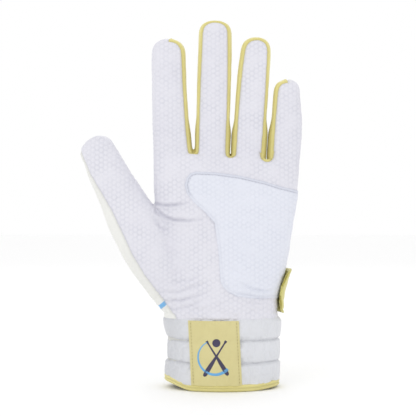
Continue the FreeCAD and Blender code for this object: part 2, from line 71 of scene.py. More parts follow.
def fingerPlace(name):
    # a finger's own frame: origin level with the webs, X across, Y to the back of the hand, Z to the tip
    knuckle = Vector(joints[name + "_knuckle"]["pos_m"])
    middle = Vector(joints[name + "_middle_joint"]["pos_m"])
    across = Vector(joints[name + "_knuckle"]["axis"]).normalized()
    up = (middle - knuckle).normalized()
    rise = thumbRise if name == "thumb" else (knuckle.z - webHeight) / up.z
    origin = knuckle - up * rise
    back = up.cross(across)
    place = Matrix((across, back, up)).transposed().to_4x4()
    place.translation = origin
    return place


def tipHeight(name):
    # a finger's length along its own axis, from the top of its tip's leather
    top = max(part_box(node)[1].z for node in nodeNames if node.startswith(name + "_tip"))
    place = fingerPlace(name)
    return (top - place.translation.z) / place.col[2][2]


# helpers for meshes


def makeObject(name, mesh, smooth=True):
    data = bpy.data.meshes.new(name)
    mesh.to_mesh(data)
    mesh.free()
    thing = bpy.data.objects.new(name, data)
    scene.collection.objects.link(thing)
    if smooth:
        data.shade_smooth()
    return thing


def finish(thing, material, bodies, nodes=(), zone=None):
    # material, the body it is attached to, and the CAD nodes it stands for; with a zone the bodies are not
    # used and the piece's transform is baked in
    if material:
        thing.data.materials.clear()
        thing.data.materials.append(material)
    if nodes:
        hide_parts(*nodes)
    if zone:
        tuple(zone[0])
        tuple(zone[1])
        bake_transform(thing)
    else:
        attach(thing, bodies)
    return thing


def baked(thing, name):
    # the object's mesh with its modifiers applied
    depsgraph = bpy.context.evaluated_depsgraph_get()
    data = bpy.data.meshes.new_from_object(thing.evaluated_get(depsgraph))
    bpy.data.objects.remove(thing)
    data.name = name
    return data


def ringOf(mesh, place, left, right, depth, squareness=2.0, segments=56):
    # a superellipse ring whose two halves may differ in width, sizes in metres
    made = bmesh.ops.create_circle(mesh, segments=segments, radius=1)
    for vert in made["verts"]:
        c, s = vert.co.x, vert.co.y
        wide = right if c > 0 else left
        vert.co = place @ Vector((
            wide * math.copysign(abs(c) ** (2 / squareness), c),
            depth * math.copysign(abs(s) ** (2 / squareness), s),
            0,
        ))
    return list({edge for vert in made["verts"] for edge in vert.link_edges})


def tubeOf(mesh, rings, capped=True):
    for lower, upper in zip(rings, rings[1:]):
        bmesh.ops.bridge_loops(mesh, edges=lower + upper)
    if capped:
        for end in (rings[0], rings[-1]):
            bmesh.ops.contextual_create(mesh, geom=end)


def evenOut(mesh, turns, factor):
    # smooths a mesh and leaves its open edges where they are
    for turn in range(turns):
        inner = [vert for vert in mesh.verts if not vert.is_boundary]
        bmesh.ops.smooth_vert(
            mesh, verts=inner, factor=factor, use_axis_x=True, use_axis_y=True, use_axis_z=True
        )


def moveAll(mesh, moves):
    for vert, move in moves:
        vert.co += move
    mesh.normal_update()


def faceOut(mesh, side=None):
    # turns a sheet's faces to one side, or away from the glove's axis where no side is given
    bmesh.ops.recalc_face_normals(mesh, faces=mesh.faces)
    total = 0.0
    for face in mesh.faces:
        middle = face.calc_center_median()
        total += face.normal.dot(Vector((middle.x, middle.y, 0)) if side is None else side)
    if total < 0:
        bmesh.ops.reverse_faces(mesh, faces=mesh.faces)
    mesh.normal_update()


def keepOnly(mesh, kept):
    bmesh.ops.delete(mesh, geom=[face for face in mesh.faces if not kept(face)], context="FACES")


def splitMany(mesh):
    # faces with more than four corners become triangles
    bmesh.ops.triangulate(mesh, faces=[face for face in mesh.faces if len(face.verts) > 4])


def treeOf(thing):
    return BVHTree.FromObject(thing, bpy.context.evaluated_depsgraph_get())


def nearTree(points):
    tree = kdtree.KDTree(len(points))
    for number, point in enumerate(points):
        tree.insert(point, number)
    tree.balance()
    return tree


def outAt(degrees):
    # direction seen from the front: 0 to the little finger's side, 90 up
    return Vector((math.cos(math.radians(degrees)), 0, math.sin(math.radians(degrees))))


def bell(value, middle, width):
    return math.exp(-((value - middle) / width) ** 2)


def smoothStep(value, low, high):
    t = min(1.0, max(0.0, (value - low) / (high - low)))
    return t * t * (3 - 2 * t)


def between(stations, value):
    # straight runs between stations (position, value, value, ...), for a position in any unit
    if value <= stations[0][0]:
        return stations[0][1:]
    for low, high in zip(stations, stations[1:]):
        if value <= high[0]:
            t = (value - low[0]) / (high[0] - low[0])
            return [a + (b - a) * t for a, b in zip(low[1:], high[1:])]
    return stations[-1][1:]


def lineDistance(point, start, end):
    # distance of a flat point from a run, and how far along the run it is
    run = end - start
    t = min(1.0, max(0.0, (point - start).dot(run) / run.length_squared))
    return (point - start - run * t).length, t


def sliceFaces(mesh, faces, point, normal):
    if not faces:
        return
    edges = {edge for face in faces for edge in face.edges}
    verts = {vert for face in faces for vert in face.verts}
    bmesh.ops.bisect_plane(
        mesh, geom=list(faces) + list(edges) + list(verts), dist=0.03 * mm, plane_co=point, plane_no=normal
    )


# the glove's whole outside

print("outside of the glove")
hand = {
    # height, centre, half width, half depth, squareness, in millimetres
    "stations": [
        (40, -0.6, 35.2, 22.0, 2.0),
        (50, -0.6, 35.3, 21.6, 2.05),
        (60, -0.2, 36.0, 20.9, 2.1),
        (72, 0.7, 38.0, 20.0, 2.2),
        (86, 1.3, 40.0, 18.6, 2.3),
        (100, 1.7, 41.8, 17.2, 2.4),
        (112, 1.9, 43.5, 15.8, 2.5),
        (124, 2.4, 44.9, 14.0, 2.7),
        (135, 2.8, 45.5, 11.8, 3.0),
        (144.6, 3.0, 45.7, 9.2, 3.4),
    ],
    "webTilt": 3.6,
    "step": 4.0,
    "ringCells": 96,
}
fingers = {
    # stations: height above the web, half width to each side, half depth; then the round tip
    "index": {
        "stations": [
            (-20, 9.0, 10.5, 5.5), (-8, 10.7, 13.4, 7.6), (0, 11.2, 13.9, 8.4), (4, 11.2, 13.3, 8.7),
            (8, 11.1, 12.7, 8.9), (18, 11.3, 11.7, 9.0), (31, 11.3, 11.1, 8.9), (47, 11.1, 10.6, 8.5),
            (63, 10.8, 10.6, 8.1),
        ],
        "tip": 10.5, "power": 2.5,
    },
    "middle": {
        "stations": [
            (-20, 8.5, 8.5, 5.5), (-8, 10.8, 10.7, 7.8), (0, 11.2, 10.9, 8.6), (6, 10.8, 10.3, 8.9),
            (15, 10.7, 10.3, 9.1), (31, 10.7, 10.8, 9.0), (47, 10.7, 11.0, 8.7), (64, 10.5, 11.1, 8.3),
            (75, 10.3, 10.8, 8.1),
        ],
        "tip": 10.0, "power": 2.9,
    },
    "ring": {
        "stations": [
            (-20, 8.0, 8.0, 5.5), (-8, 10.6, 9.6, 7.6), (0, 10.8, 9.8, 8.4), (6, 10.6, 9.6, 8.7),
            (23, 11.0, 9.4, 8.8), (39, 11.2, 9.4, 8.5), (56, 11.1, 9.2, 8.1), (65, 10.4, 9.1, 7.9),
        ],
        "tip": 10.5, "power": 2.4,
    },
    "little": {
        "stations": [
            (-20, 8.0, 7.5, 5.5), (-8, 9.8, 9.0, 7.0), (0, 10.0, 9.6, 7.8), (5, 9.8, 9.8, 8.1),
            (15, 9.4, 10.1, 8.2), (24, 9.1, 9.9, 8.1), (31, 8.8, 9.2, 7.9), (40, 8.6, 8.0, 7.6),
        ],
        "tip": 9.2, "power": 2.7,
    },
}
digit = {"step": 2.5, "squareness": 2.15, "domeRings": 8, "least": 0.06}
thumb = {
    # distance along the thumb, half width outside, half width inside, half depth
    "stations": [
        (-70, 5.5, 6.0, 9.0),
        (-64, 9.4, 7.0, 10.8),
        (-57, 11.9, 9.0, 12.4),
        (-50, 13.6, 12.0, 14.0),
        (-42, 14.8, 14.0, 15.4),
        (-31, 16.5, 15.5, 16.0),
        (-20, 17.2, 16.0, 15.2),
        (-8, 17.0, 15.8, 13.2),
        (2, 16.4, 14.4, 11.4),
        (14, 14.5, 12.9, 10.0),
        (24, 13.5, 11.9, 9.4),
        (35, 12.7, 11.3, 9.2),
        (44, 11.1, 10.8, 8.8),
    ],
    "tip": 10.4,
    "power": 2.2,
    "step": 3.0,
}
frames = {name: fingerPlace(name) for name in list(fingers) + ["thumb"]}
frameBack = {name: place.inverted() for name, place in frames.items()}
lengths = {name: tipHeight(name) for name in frames}


def lifted(place, height):
    return place @ Matrix.Translation((0, 0, height * mm))


def digitTube(mesh, place, values, length, step):
    # rings through the stations, then the round end
    stations = values["stations"]
    foot = length / mm - values["tip"]
    rings, height = [], stations[0][0]
    while height < foot:
        left, right, depth = between(stations, height)
        level = lifted(place, height)
        rings.append(ringOf(mesh, level, left * mm, right * mm, depth * mm, digit["squareness"]))
        height += step
    left, right, depth = between(stations, foot)
    power = values["power"]
    for turn in range(1, digit["domeRings"] + 1):
        t = math.sin(turn / digit["domeRings"] * math.pi / 2)
        size = max(digit["least"], (1 - t ** power) ** (1 / power))
        level = lifted(place, foot + values["tip"] * t)
        sizes = (left * size * mm, right * size * mm, depth * size ** 1.1 * mm)
        rings.append(ringOf(mesh, level, *sizes, digit["squareness"]))
    tubeOf(mesh, rings)


def handTube(mesh):
    rings = []
    height = hand["stations"][0][0]
    top = hand["stations"][-1][0]
    while height < top + 0.01:
        centre, half, depth, square = between(hand["stations"], height)
        tilt = math.radians(hand["webTilt"] * smoothStep(height, 110, 144))
        place = Matrix.Translation((centre * mm, 0, height * mm)) @ Matrix.Rotation(tilt, 4, "Y")
        rings.append(ringOf(mesh, place, half * mm, half * mm, depth * mm, square, hand["ringCells"]))
        height += hand["step"] if height + hand["step"] < top - 0.6 else max(0.6, top - height)
    tubeOf(mesh, rings)


def wholeOutside():
    mesh = bmesh.new()
    handTube(mesh)
    for name in fingers:
        digitTube(mesh, frames[name], fingers[name], lengths[name], digit["step"])
    digitTube(mesh, frames["thumb"], thumb, lengths["thumb"], thumb["step"])
    bmesh.ops.recalc_face_normals(mesh, faces=mesh.faces)
    rough = makeObject("rough", mesh)
    melted = rough.modifiers.new("melt", "REMESH")
    melted.mode = "VOXEL"
    melted.voxel_size = melt["voxel"] * mm
    data = baked(rough, "melted")
    mesh = bmesh.new()
    mesh.from_mesh(data)
    bpy.data.meshes.remove(data)
    evenOut(mesh, melt["smoothings"], 0.5)
    mesh.normal_update()
    for vert in mesh.verts:
        vert.co += vert.normal * melt["loss"] * mm
    return mesh


# the hand's and fingers' tubes melt into one skin; loss is what the smoothing takes off
melt = {"voxel": 0.9, "smoothings": 9, "loss": 0.4}
skin = wholeOutside()
print("  skin faces", len(skin.faces))

# the leather that each face of the outside belongs to

seams = {
    "palmSide": 6.0,  # the palm leather's seams lie this far in front of the fingers' middle plane
    "backSide": 5.2,  # the back leather's this far behind it
    "zoneStart": 3.0,  # where a finger's own leather begins, above the webs
    # where a digit's tip segment starts, and where it has left the base segment behind
    "zones": {
        "index": (22, 44), "middle": (23.5, 48), "ring": (22, 45), "little": (18.5, 37.5), "thumb": (24, 42),
    },
    "thumbStart": 3.0,
    # the thumb's outer seam on the palm side: distance along the thumb, place across it
    "thumbBand": [
        (-68, -4.5), (-60, -6.2), (-50, -7.6), (-36, -9.8), (-20, -10.6), (-6, -9.9),
        (8, -9.3), (22, -9.9), (36, -10.8), (52, -9.3),
    ],
    "webReach": 2.1,  # how far the side leather comes round the foot of a gap
    "footReach": 8.0,  # how far from the foot of a gap its leather may lie
    "footSink": 1.8,
    "slitHalf": 2.5,
}
slitLow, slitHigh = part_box("slit_gusset")
slitTop = slitHigh.z - 8 * mm
webNames = ["index_middle", "middle_ring", "ring_little"]


def localTo(name, point):
    return frameBack[name] @ point


def nearestFinger(point):
    return min(fingers, key=lambda name: abs(localTo(name, point).x))


def whichFinger(point):
    # the finger that a point above the webs belongs to, or None on the hand
    local = localTo("thumb", point)
    if local.z > seams["thumbStart"] * mm and point.x < -43.2 * mm and abs(local.x) < 18 * mm:
        return "thumb"
    name = nearestFinger(point)
    if localTo(name, point).z > seams["zoneStart"] * mm:
        return name
    return None


def bandEdge(along):
    # the thumb seam's place across the thumb, for a distance along it, in metres
    return between(seams["thumbBand"], along / mm)[0] * mm


def gapFeet(mesh):
    # the lowest point of each gap between two fingers, and the radius of the leather round it
    feet = []
    order = list(fingers)
    for left, right in zip(order, order[1:]):
        edges = (
            frames[left].translation.x + between(fingers[left]["stations"], 2)[1] * mm,
            frames[right].translation.x - between(fingers[right]["stations"], 2)[0] * mm,
        )
        middle = sum(edges) / 2
        near = [
            vert.co.z for vert in mesh.verts
            if abs(vert.co.x - middle) < 1.2 * mm and abs(vert.co.y) < 3 * mm
            and vert.co.z > webHeight - 9 * mm
        ]
        centre = Vector((middle, 0, min(near, default=webHeight) + seams["footSink"] * mm))
        feet.append((centre, (edges[1] - edges[0]) / 2 + seams["webReach"] * mm))
    return feet


footTurns = (-165, -130, -90, -50, -15)


def insideFoot(point, foot):
    centre, radius = foot
    if max(abs(point.x - centre.x), abs(point.z - centre.z)) > seams["footReach"] * mm:
        return False
    return all((point - centre).dot(outAt(turn)) <= radius for turn in footTurns)


def facesWhere(mesh, test):
    return [face for face in mesh.faces if test(face.calc_center_median())]


def cutWebs(mesh, feet):
    for centre, radius in feet:
        for turn in footTurns:
            own = facesWhere(mesh, lambda point: (
                abs(point.x - centre.x) < 7 * mm and -7 * mm < point.z - centre.z < 3 * mm
            ))
            sliceFaces(mesh, own, centre + outAt(turn) * radius, outAt(turn))


def cutFinger(mesh, name):
    # across the finger at its hinges, and along the middle of its tip
    place = frames[name]
    for height in (seams["zoneStart"], seams["zones"][name][0]):
        own = facesWhere(mesh, lambda point: point.z > webHeight - 4 * mm and nearestFinger(point) == name)
        sliceFaces(mesh, own, place @ Vector((0, 0, height * mm)), place.col[2].to_3d())
    own = facesWhere(mesh, lambda point: (
        abs(point.y) < 7 * mm and point.z > webHeight + 20 * mm and nearestFinger(point) == name
        and localTo(name, point).z > lengths[name] - 14 * mm
    ))
    sliceFaces(mesh, own, place.translation, place.col[0].to_3d())


def cutThumb(mesh):
    # across the thumb at its hinges, and along the seam of its outer side
    place = frames["thumb"]
    for height in (seams["thumbStart"], seams["zones"]["thumb"][0]):
        own = facesWhere(mesh, lambda point: (
            point.x < -42 * mm and point.z > 80 * mm and localTo("thumb", point).z > -12 * mm
        ))
        sliceFaces(mesh, own, place @ Vector((0, 0, height * mm)), place.col[2].to_3d())
    for low, high in zip(seams["thumbBand"], seams["thumbBand"][1:]):
        start = place @ Vector((low[1] * mm, 0, low[0] * mm))
        end = place @ Vector((high[1] * mm, 0, high[0] * mm))
        own = []
        for face in facesWhere(mesh, lambda point: point.x <= -27 * mm and point.y <= 7 * mm):
            local = localTo("thumb", face.calc_center_median())
            if low[0] - 0.6 < local.z / mm < high[0] + 0.6 and abs(local.x - bandEdge(local.z)) < 2.5 * mm:
                own.append(face)
        sliceFaces(mesh, own, start, (end - start).cross(behind))


def cutSlit(mesh):
    half = seams["slitHalf"] * mm
    for turn in (0, 45, 90, 135, 180):
        own = facesWhere(mesh, lambda point: (
            point.y > 8 * mm and abs(point.x) < 5 * mm and point.z < slitTop + half
            and (turn in (0, 180) or point.z > slitTop - 3 * mm)
        ))
        sliceFaces(mesh, own, Vector((0, 0, slitTop - half)) + outAt(turn) * half, outAt(turn))


def cutSeams(mesh, feet):
    sliceFaces(mesh, list(mesh.faces), Vector((0, seams["backSide"] * mm, 0)), behind)
    upper = facesWhere(mesh, lambda point: point.z > webHeight - 6 * mm)
    sliceFaces(mesh, upper, Vector((0, -seams["palmSide"] * mm, 0)), behind)
    cutWebs(mesh, feet)
    for name in fingers:
        cutFinger(mesh, name)
    cutThumb(mesh)
    sliceFaces(mesh, list(mesh.faces), Vector((0, 0, cuffTop)), Vector((0, 0, 1)))
    cutSlit(mesh)


def inSlit(point):
    half = seams["slitHalf"] * mm
    above = point.z - (slitTop - half)
    return (
        point.y > 8 * mm and abs(point.x) < half and above < half
        and (above < 0 or abs(point.x) + above < half * 1.414)
    )


def inWeb(point):
    # the number of the gap whose foot the point lies at, or None
    if point.z <= webHeight - 8 * mm:
        return None
    level = -seams["palmSide"] * mm < point.y < seams["backSide"] * mm and point.z > webHeight - 6 * mm
    order = list(fingers)
    for number, (left, right) in enumerate(zip(order, order[1:])):
        if insideFoot(point, gapFoot[number]):
            return number
        if level and localTo(left, point).x > 0 > localTo(right, point).x:
            return number
    return None


def leatherOf(point):
    # (leather, zone) of a point on the outside; a leather's zones join without a seam
    name = whichFinger(point)
    onBack = point.y > seams["backSide"] * mm
    if name is None:
        web = inWeb(point)
        if web is not None:
            return "side", f"web{web}"
        if onBack:
            return ("slit" if inSlit(point) else "back"), "hand"
        local = localTo("thumb", point)
        if point.x < -27 * mm and local.x < bandEdge(local.z) and local.z < 6 * mm:
            return "back", "hand"
        return "palm", "hand"
    local = localTo(name, point)
    zone = f"{name}Base" if local.z < seams["zones"][name][0] * mm else f"{name}Tip"
    if onBack or (name == "thumb" and local.x < bandEdge(local.z)):
        return "back", zone
    freeSide = (name == "index" and local.x < 0) or (name == "little" and local.x > 0)
    if name == "thumb" or freeSide or point.y < -seams["palmSide"] * mm:
        return "palm", zone
    return "side", zone


print("seams")
gapFoot = gapFeet(skin)
cutSeams(skin, gapFoot)
bmesh.ops.remove_doubles(skin, verts=list(skin.verts), dist=0.16 * mm)
bmesh.ops.dissolve_degenerate(skin, edges=list(skin.edges), dist=0.05 * mm)
keepOnly(skin, lambda face: face.calc_center_median().z >= cuffTop)
partLayer = skin.faces.layers.int.new("part")
partNames = []


def tagParts(mesh):
    for face in mesh.faces:
        part = leatherOf(face.calc_center_median())
        if part not in partNames:
            partNames.append(part)
        face[partLayer] = partNames.index(part)


tagParts(skin)

# the palm leather keeps its coarse faces by the cuff, and where the overlay hides it
coarse = {"byCuff": 64, "high": 125, "left": 1, "right": 60, "upperLeft": 10, "footRight": 3}


def staysCoarse(point):
    x, z = point.x / mm, point.z / mm
    left = coarse["left"] - coarse["upperLeft"] * smoothStep(z, 104, 116)
    left += coarse["footRight"] * smoothStep(-z, -72, -60)
    covered = point.y <= -1 * mm and z < coarse["high"] and left < x < coarse["right"]
    return z <= coarse["byCuff"] or covered


palmFaces = [face for face in skin.faces if partNames[face[partLayer]][0] == "palm"]
palmEdges = list({edge for face in palmFaces for edge in face.edges})
palmEdges = [edge for edge in palmEdges if not staysCoarse(edge.verts[0].co)]
bmesh.ops.subdivide_edges(skin, edges=palmEdges, cuts=1, use_grid_fill=True)
splitMany(skin)
tagParts(skin)
evenOut(skin, 2, 0.35)
skin.normal_update()
print("  skin faces", len(skin.faces))

# the overlay's outline: the pad over the heel and the outer half of the palm

overlay = {
    "outline": [
        (-1, 68), (-2.4, 87), (-4.6, 103.5), (-10.3, 110), (-17.5, 116.3), (-21.8, 122), (-23, 127),
        (-22, 131.6), (-19.4, 134.5), (-16, 135.4), (-4, 134.8), (11, 132.7), (27, 129), (36, 126.2),
        (60, 121), (60, 55.5),
        (20, 57), (9, 58.5), (3.2, 61.5), (0, 65),
    ],
    "lift": 0.75,
    "thickness": 0.6,
    "seamInside": 1.5,
    "emboss": 0.045,
}


def insideOutline(x, z, outline):
    inside = False
    for (ax, az), (bx, bz) in zip(outline, outline[1:] + outline[:1]):
        if (az > z) != (bz > z) and x < ax + (bx - ax) * (z - az) / (bz - az):
            inside = not inside
    return inside


def turnedAside(point):
    # the leather's part that has turned to the side by the thumb, which an outline doesn't mean
    return point.x < 0 and point.y > -2 * mm


def regionOfPalm(mesh, outline):
    # a copy of the palm leather's surface, cut along an outline given straight from the front
    piece = mesh.copy()
    layer = piece.faces.layers.int["part"]
    palmPart = partNames.index(("palm", "hand"))
    keepOnly(piece, lambda face: face[layer] == palmPart)
    tooLong = [edge for edge in piece.edges if edge.calc_length() > 0.62 * mm]
    tooLong = [edge for edge in tooLong if edge.verts[0].co.z > 50 * mm]
    bmesh.ops.subdivide_edges(piece, edges=tooLong, cuts=1, use_grid_fill=True)
    splitMany(piece)
    for start, end in zip(outline, outline[1:] + outline[:1]):
        a, b = Vector(start), Vector(end)
        if min(a.x, b.x) > 55:
            continue
        own = facesWhere(piece, lambda point: (
            not turnedAside(point) and lineDistance(Vector((point.x / mm, point.z / mm)), a, b)[0] < 2.2
        ))
        sliceFaces(piece, own, Vector((a.x, 0, a.y)) * mm, Vector((b.y - a.y, 0, a.x - b.x)))
    outside = facesWhere(piece, lambda point: (
        turnedAside(point) or not insideOutline(point.x / mm, point.z / mm, outline)
    ))
    bmesh.ops.delete(piece, geom=outside, context="FACES")
    bmesh.ops.remove_doubles(piece, verts=list(piece.verts), dist=0.1 * mm)
    return piece


overlaySkin = regionOfPalm(skin, overlay["outline"])
padLow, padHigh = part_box("palm_foam_pad")
foamPad = {"low": padLow.z / mm, "high": padHigh.z / mm - 3, "depth": 1.25, "thickness": 1.9}
foamSkin = regionOfPalm(skin, [
    (5, foamPad["low"]), (3, 90), (-4, 112), (-14, 120), (-13, 127), (-8, foamPad["high"]), (10, 125),
    (30, 118), (33, 105), (30, 80), (25, foamPad["low"]),
])

# relief of the leather

relief = {
    "hexPitch": 3.1,
    "hexDepth": 0.085,
    "seamDip": 0.42,
    "seamWidth": 0.7,
    # creases of the palm: flat points (across, height), depth, width; mounds: place, spreads, height
    "creases": [
        ([(-43, 115.4), (-36, 114.4), (-28, 114.8), (-20, 116.2)], 1.1, 0.9),
        ([(-41, 111), (-36, 107.2), (-30, 105.4), (-20, 104.9), (-10, 106.0)], 1.2, 1.0),
        ([(-42, 106), (-38, 101), (-33, 98)], 0.4, 1.1),
        ([(-38, 61), (-28, 60.5), (-18, 64), (-8, 68)], 0.6, 1.0),
        ([(-36, 55), (-26, 55.5), (-16, 58.5), (-6, 62)], 0.7, 0.9),
        ([(-37, 50.5), (-28, 50), (-20, 52.5), (-12, 55)], 0.5, 0.8),
        ([(-30, 67), (-20, 68), (-12, 72)], 0.35, 1.0),
        ([(12, 66), (19, 62.5), (27, 61), (35, 62.5)], 0.8, 0.8),
        ([(10, 60.5), (18, 58.2), (26, 56.5), (34, 57.5)], 0.7, 0.8),
        ([(14, 55), (22, 53.4), (30, 53.8)], 0.4, 0.8),
        ([(3, 80), (8, 74), (14, 70)], 0.3, 1.2),
        ([(42, 100), (43.5, 92), (42, 84)], 0.4, 1.2),
        ([(44, 118), (45, 110), (44, 103)], 0.35, 1.2),
    ],
    "mounds": [
        (-30, 84, 17, 24, 1.6),
        (26, 78, 14, 22, 0.9),
        (4, 112, 12, 14, -1.3),
        (-34, 132, 9, 7, 0.9),
        (-9, 137, 8, 5, 0.5),
        (14, 136, 8, 5, 0.5),
        (34, 133, 8, 6, 0.7),
    ],
    # seams across the back of the hand, from the thumb's side
    "backSeams": [
        [(-46, 126), (-34, 128.5), (-18, 127.5), (0, 125.5), (20, 123.5), (38, 118.5), (50, 113)],
        [(-48, 112), (-34, 116), (-18, 115.8), (0, 113.8), (20, 111.5), (38, 106.5), (50, 101)],
    ],
}


def hexWave(u, v, pitch):
    # smooth bumps on a honeycomb: low in the grooves, high on a cell's middle
    k = 4 * math.pi / (math.sqrt(3) * pitch)
    total = math.cos(k * u)
    total += math.cos(k * (u * 0.5 + v * 0.8660254))
    total += math.cos(k * (u * 0.5 - v * 0.8660254))
    return total / 2.25 - 1 / 3


def flatPlace(point, normal):
    # where the embossing's pattern takes a point: straight from the front, or from the side on the edges
    if abs(normal.x) > abs(normal.y) * 1.3:
        return point.y / mm + 40, point.z / mm
    return point.x / mm, point.z / mm


def runDistance(flat, runs):
    # distance from a run of straight pieces, and the share of its length that is passed
    nearest, share = 99.0, 0.0
    for number, (start, end) in enumerate(zip(runs, runs[1:])):
        away, t = lineDistance(flat, start, end)
        if away < nearest:
            nearest, share = away, (number + t) / (len(runs) - 1)
    return nearest, share


creaseRuns = [([Vector(p) for p in points], depth, width) for points, depth, width in relief["creases"]]
backRuns = [[Vector(p) for p in points] for points in relief["backSeams"]]


def creaseLift(flat):
    total = 0.0
    for runs, depth, width in creaseRuns:
        if not runs[0].x - 4 < flat.x < runs[-1].x + 4 and not runs[-1].x - 4 < flat.x < runs[0].x + 4:
            continue
        nearest, share = runDistance(flat, runs)
        if nearest > 6:
            continue
        fade = math.sin(math.pi * min(1.0, max(0.0, share * 0.86 + 0.12)))
        d = nearest / width
        total -= depth * fade * (bell(d, 0, 1) - 0.6 * bell(d, 2.1, 0.9))
    return total


def wristFolds(point, flat):
    # short upright gathers over the elastic, and slack folds above it
    low = 1 - smoothStep(flat.y, 46, 64)
    wander = noise.noise(Vector((flat.x * 0.11, point.y / mm * 0.11, flat.y * 0.07))) * 3.2
    gathers = math.sin(flat.x * 1.75 + wander * 2.2 + math.copysign(point.y / mm, 1) * 0.4)
    folds = noise.noise(Vector((flat.x * 0.075 + 7, point.y / mm * 0.05, flat.y * 0.33 + wander * 0.35)))
    return 0.17 * gathers * bell(flat.y, 51, 4.5) + 1.2 * folds * low * smoothStep(flat.y, 44, 48)


def backLift(point, flat):
    lift = 0.0
    for runs in backRuns:
        away = runDistance(flat, runs)[0]
        if away < 5:
            lift += 0.24 * bell(away, 1.6, 0.9) - 0.5 * bell(away, 0, 0.55)
    name = whichFinger(point)
    if name:
        local = localTo(name, point)
        bend = (Vector(joints[name + "_middle_joint"]["pos_m"]) - frames[name].translation).length
        for step in (-5.0, -1.7, 1.7, 5.0):
            d = (local.z - bend) / mm - step
            lift += 0.16 * math.cos(math.pi * min(1.0, abs(d) / 1.6)) if abs(d) < 1.6 else -0.16
    return lift


def moundLift(point):
    # the palm's fuller and hollower places, straight towards the front
    facing = smoothStep(-point.y / mm, 1, 7)
    if facing <= 0 or point.z > 150 * mm:
        return 0.0
    total = 0.0
    for across, height, wide, tall, size in relief["mounds"]:
        a, b = (point.x / mm - across) / wide, (point.z / mm - height) / tall
        if abs(a) < 2.6 and abs(b) < 2.6:
            total += size * math.exp(-a * a - b * b)
    return total * facing


def reliefAt(point, normal, leather):
    flat = Vector((point.x / mm, point.z / mm))
    lift = 0.0
    if point.y < -1 * mm and flat.y < 150:
        lift += creaseLift(flat) * smoothStep(-point.y / mm, 1, 7)
    if leather == "back" and normal.y > 0.3:
        lift += backLift(point, flat) * smoothStep(normal.y, 0.3, 0.6)
    if flat.y < 66:
        lift += wristFolds(point, flat)
        lift += 0.45 * bell(flat.y, 45.2, 1.0)
    grain = noise.noise(point * 130) * 0.24 + noise.noise(point * 310 + Vector((3, 8, 1))) * 0.12
    return lift + (grain if leather != "side" else grain * 0.4)


gapClose = {"left": 0.35, "low": 158, "high": 171, "free": 0.22, "half": 5.6}


def wallShift(tree, vert):
    # two fingers' walls bulge until they nearly meet low in the gap
    if abs(vert.normal.x) < 0.5 or vert.co.z < webHeight - 2 * mm:
        return 0.0
    side = math.copysign(1, vert.normal.x)
    hit = tree.ray_cast(vert.co + Vector((side * 0.25 * mm, 0, 0)), Vector((side, 0, 0)), 7 * mm)[0]
    if hit is None:
        return 0.0
    room = abs(hit.x - vert.co.x) / mm - gapClose["free"]
    share = 1 - smoothStep(vert.co.z / mm, gapClose["low"], gapClose["high"])
    share *= max(0.0, 1 - (vert.co.y / (gapClose["half"] * mm)) ** 2)
    if vert.co.x < -10 * mm:
        share *= gapClose["left"]
    return side * max(0.0, room) * 0.5 * share


def sculpt(mesh):
    # presses the relief into the outside; the painted shade layer keeps how deep in a seam or crease a point
    # lies, for painted shade in seams and creases
    paintedShade = mesh.verts.layers.float.new("paintedShade")
    bare = BVHTree.FromBMesh(mesh)
    seamVerts, palmVerts, kinds = [], set(), {}
    for vert in mesh.verts:
        around = {partNames[face[partLayer]][0] for face in vert.link_faces}
        kinds[vert] = partNames[vert.link_faces[0][partLayer]][0]
        if len(around) > 1:
            seamVerts.append(vert)
        elif "palm" in around:
            palmVerts.add(vert)
    tree = nearTree([vert.co for vert in seamVerts])
    moves = []
    for vert in mesh.verts:
        kind = kinds[vert]
        lift = reliefAt(vert.co, vert.normal, kind)
        away = tree.find(vert.co)[2] / mm
        atSeam = bell(away, 0, relief["seamWidth"])
        lift -= relief["seamDip"] * atSeam
        if kind == "side":
            lift += 0.42 * bell(away, 1.25, 0.7) - 0.4 * smoothStep(away, 2.2, 4.6)
        else:
            lift += 0.2 * bell(away, 1.9, 1.1)
        flat = (vert.co.x / mm, vert.co.z / mm)
        depth = max(0.0, -creaseLift(Vector(flat))) if vert.normal.y < 0 else 0.0
        # painted shade: darker colour at the seams and in the palm's creases
        vert[paintedShade] = min(1.0, atSeam * 0.85 + depth * 0.7)
        if vert in palmVerts and not (flat[0] > -25 and insideOutline(*flat, overlay["outline"])):
            u, v = flatPlace(vert.co, vert.normal)
            pressed = 1.0 + 0.9 * noise.noise(vert.co * 90 + Vector((5, 2, 7)))
            turned = abs(abs(vert.normal.x) - abs(vert.normal.y) * 1.3)
            pressed *= smoothStep(away, 0.8, 1.8) * smoothStep(turned, 0.05, 0.35)
            lift += relief["hexDepth"] * pressed * hexWave(u, v, relief["hexPitch"])
        move = vert.normal * lift - Vector((0, moundLift(vert.co), 0))
        if kind == "side":
            shift = wallShift(bare, vert)
            # painted shadow: the side walls darken low and deep in the gaps between fingers, and where they
            # bulge towards each other
            low = 1 - smoothStep(vert.co.z / mm, 152, 176)
            deep = 1 - smoothStep(abs(vert.co.y) / mm, 3.2, 5.4)
            vert[paintedShade] = min(1.0, vert[paintedShade] + abs(shift) * 0.7 + 0.6 * low * deep)
            move = move * max(0.0, 1 - abs(shift)) + Vector((shift, 0, 0))
        moves.append((vert, move * mm))
    moveAll(mesh, moves)


def addPattern(mesh):
    # the embossing's place for the material, one for each corner of each face
    layer = mesh.loops.layers.uv.new("pattern")
    for face in mesh.faces:
        for loop in face.loops:
            loop[layer].uv = flatPlace(loop.vert.co, face.normal)


print("relief")
sculpt(skin)
addPattern(skin)
handTree = BVHTree.FromBMesh(skin)

# materials

print("materials")


def newGroup(name, inputs, outputs):
    group = bpy.data.node_groups.new(name, "ShaderNodeTree")
    for label, kind, value in inputs:
        socket = group.interface.new_socket(name=label, in_out="INPUT", socket_type=kind)
        if value is not None:
            socket.default_value = value
    for label, kind in outputs:
        group.interface.new_socket(name=label, in_out="OUTPUT", socket_type=kind)
    return group, group.nodes.new("NodeGroupInput"), group.nodes.new("NodeGroupOutput")


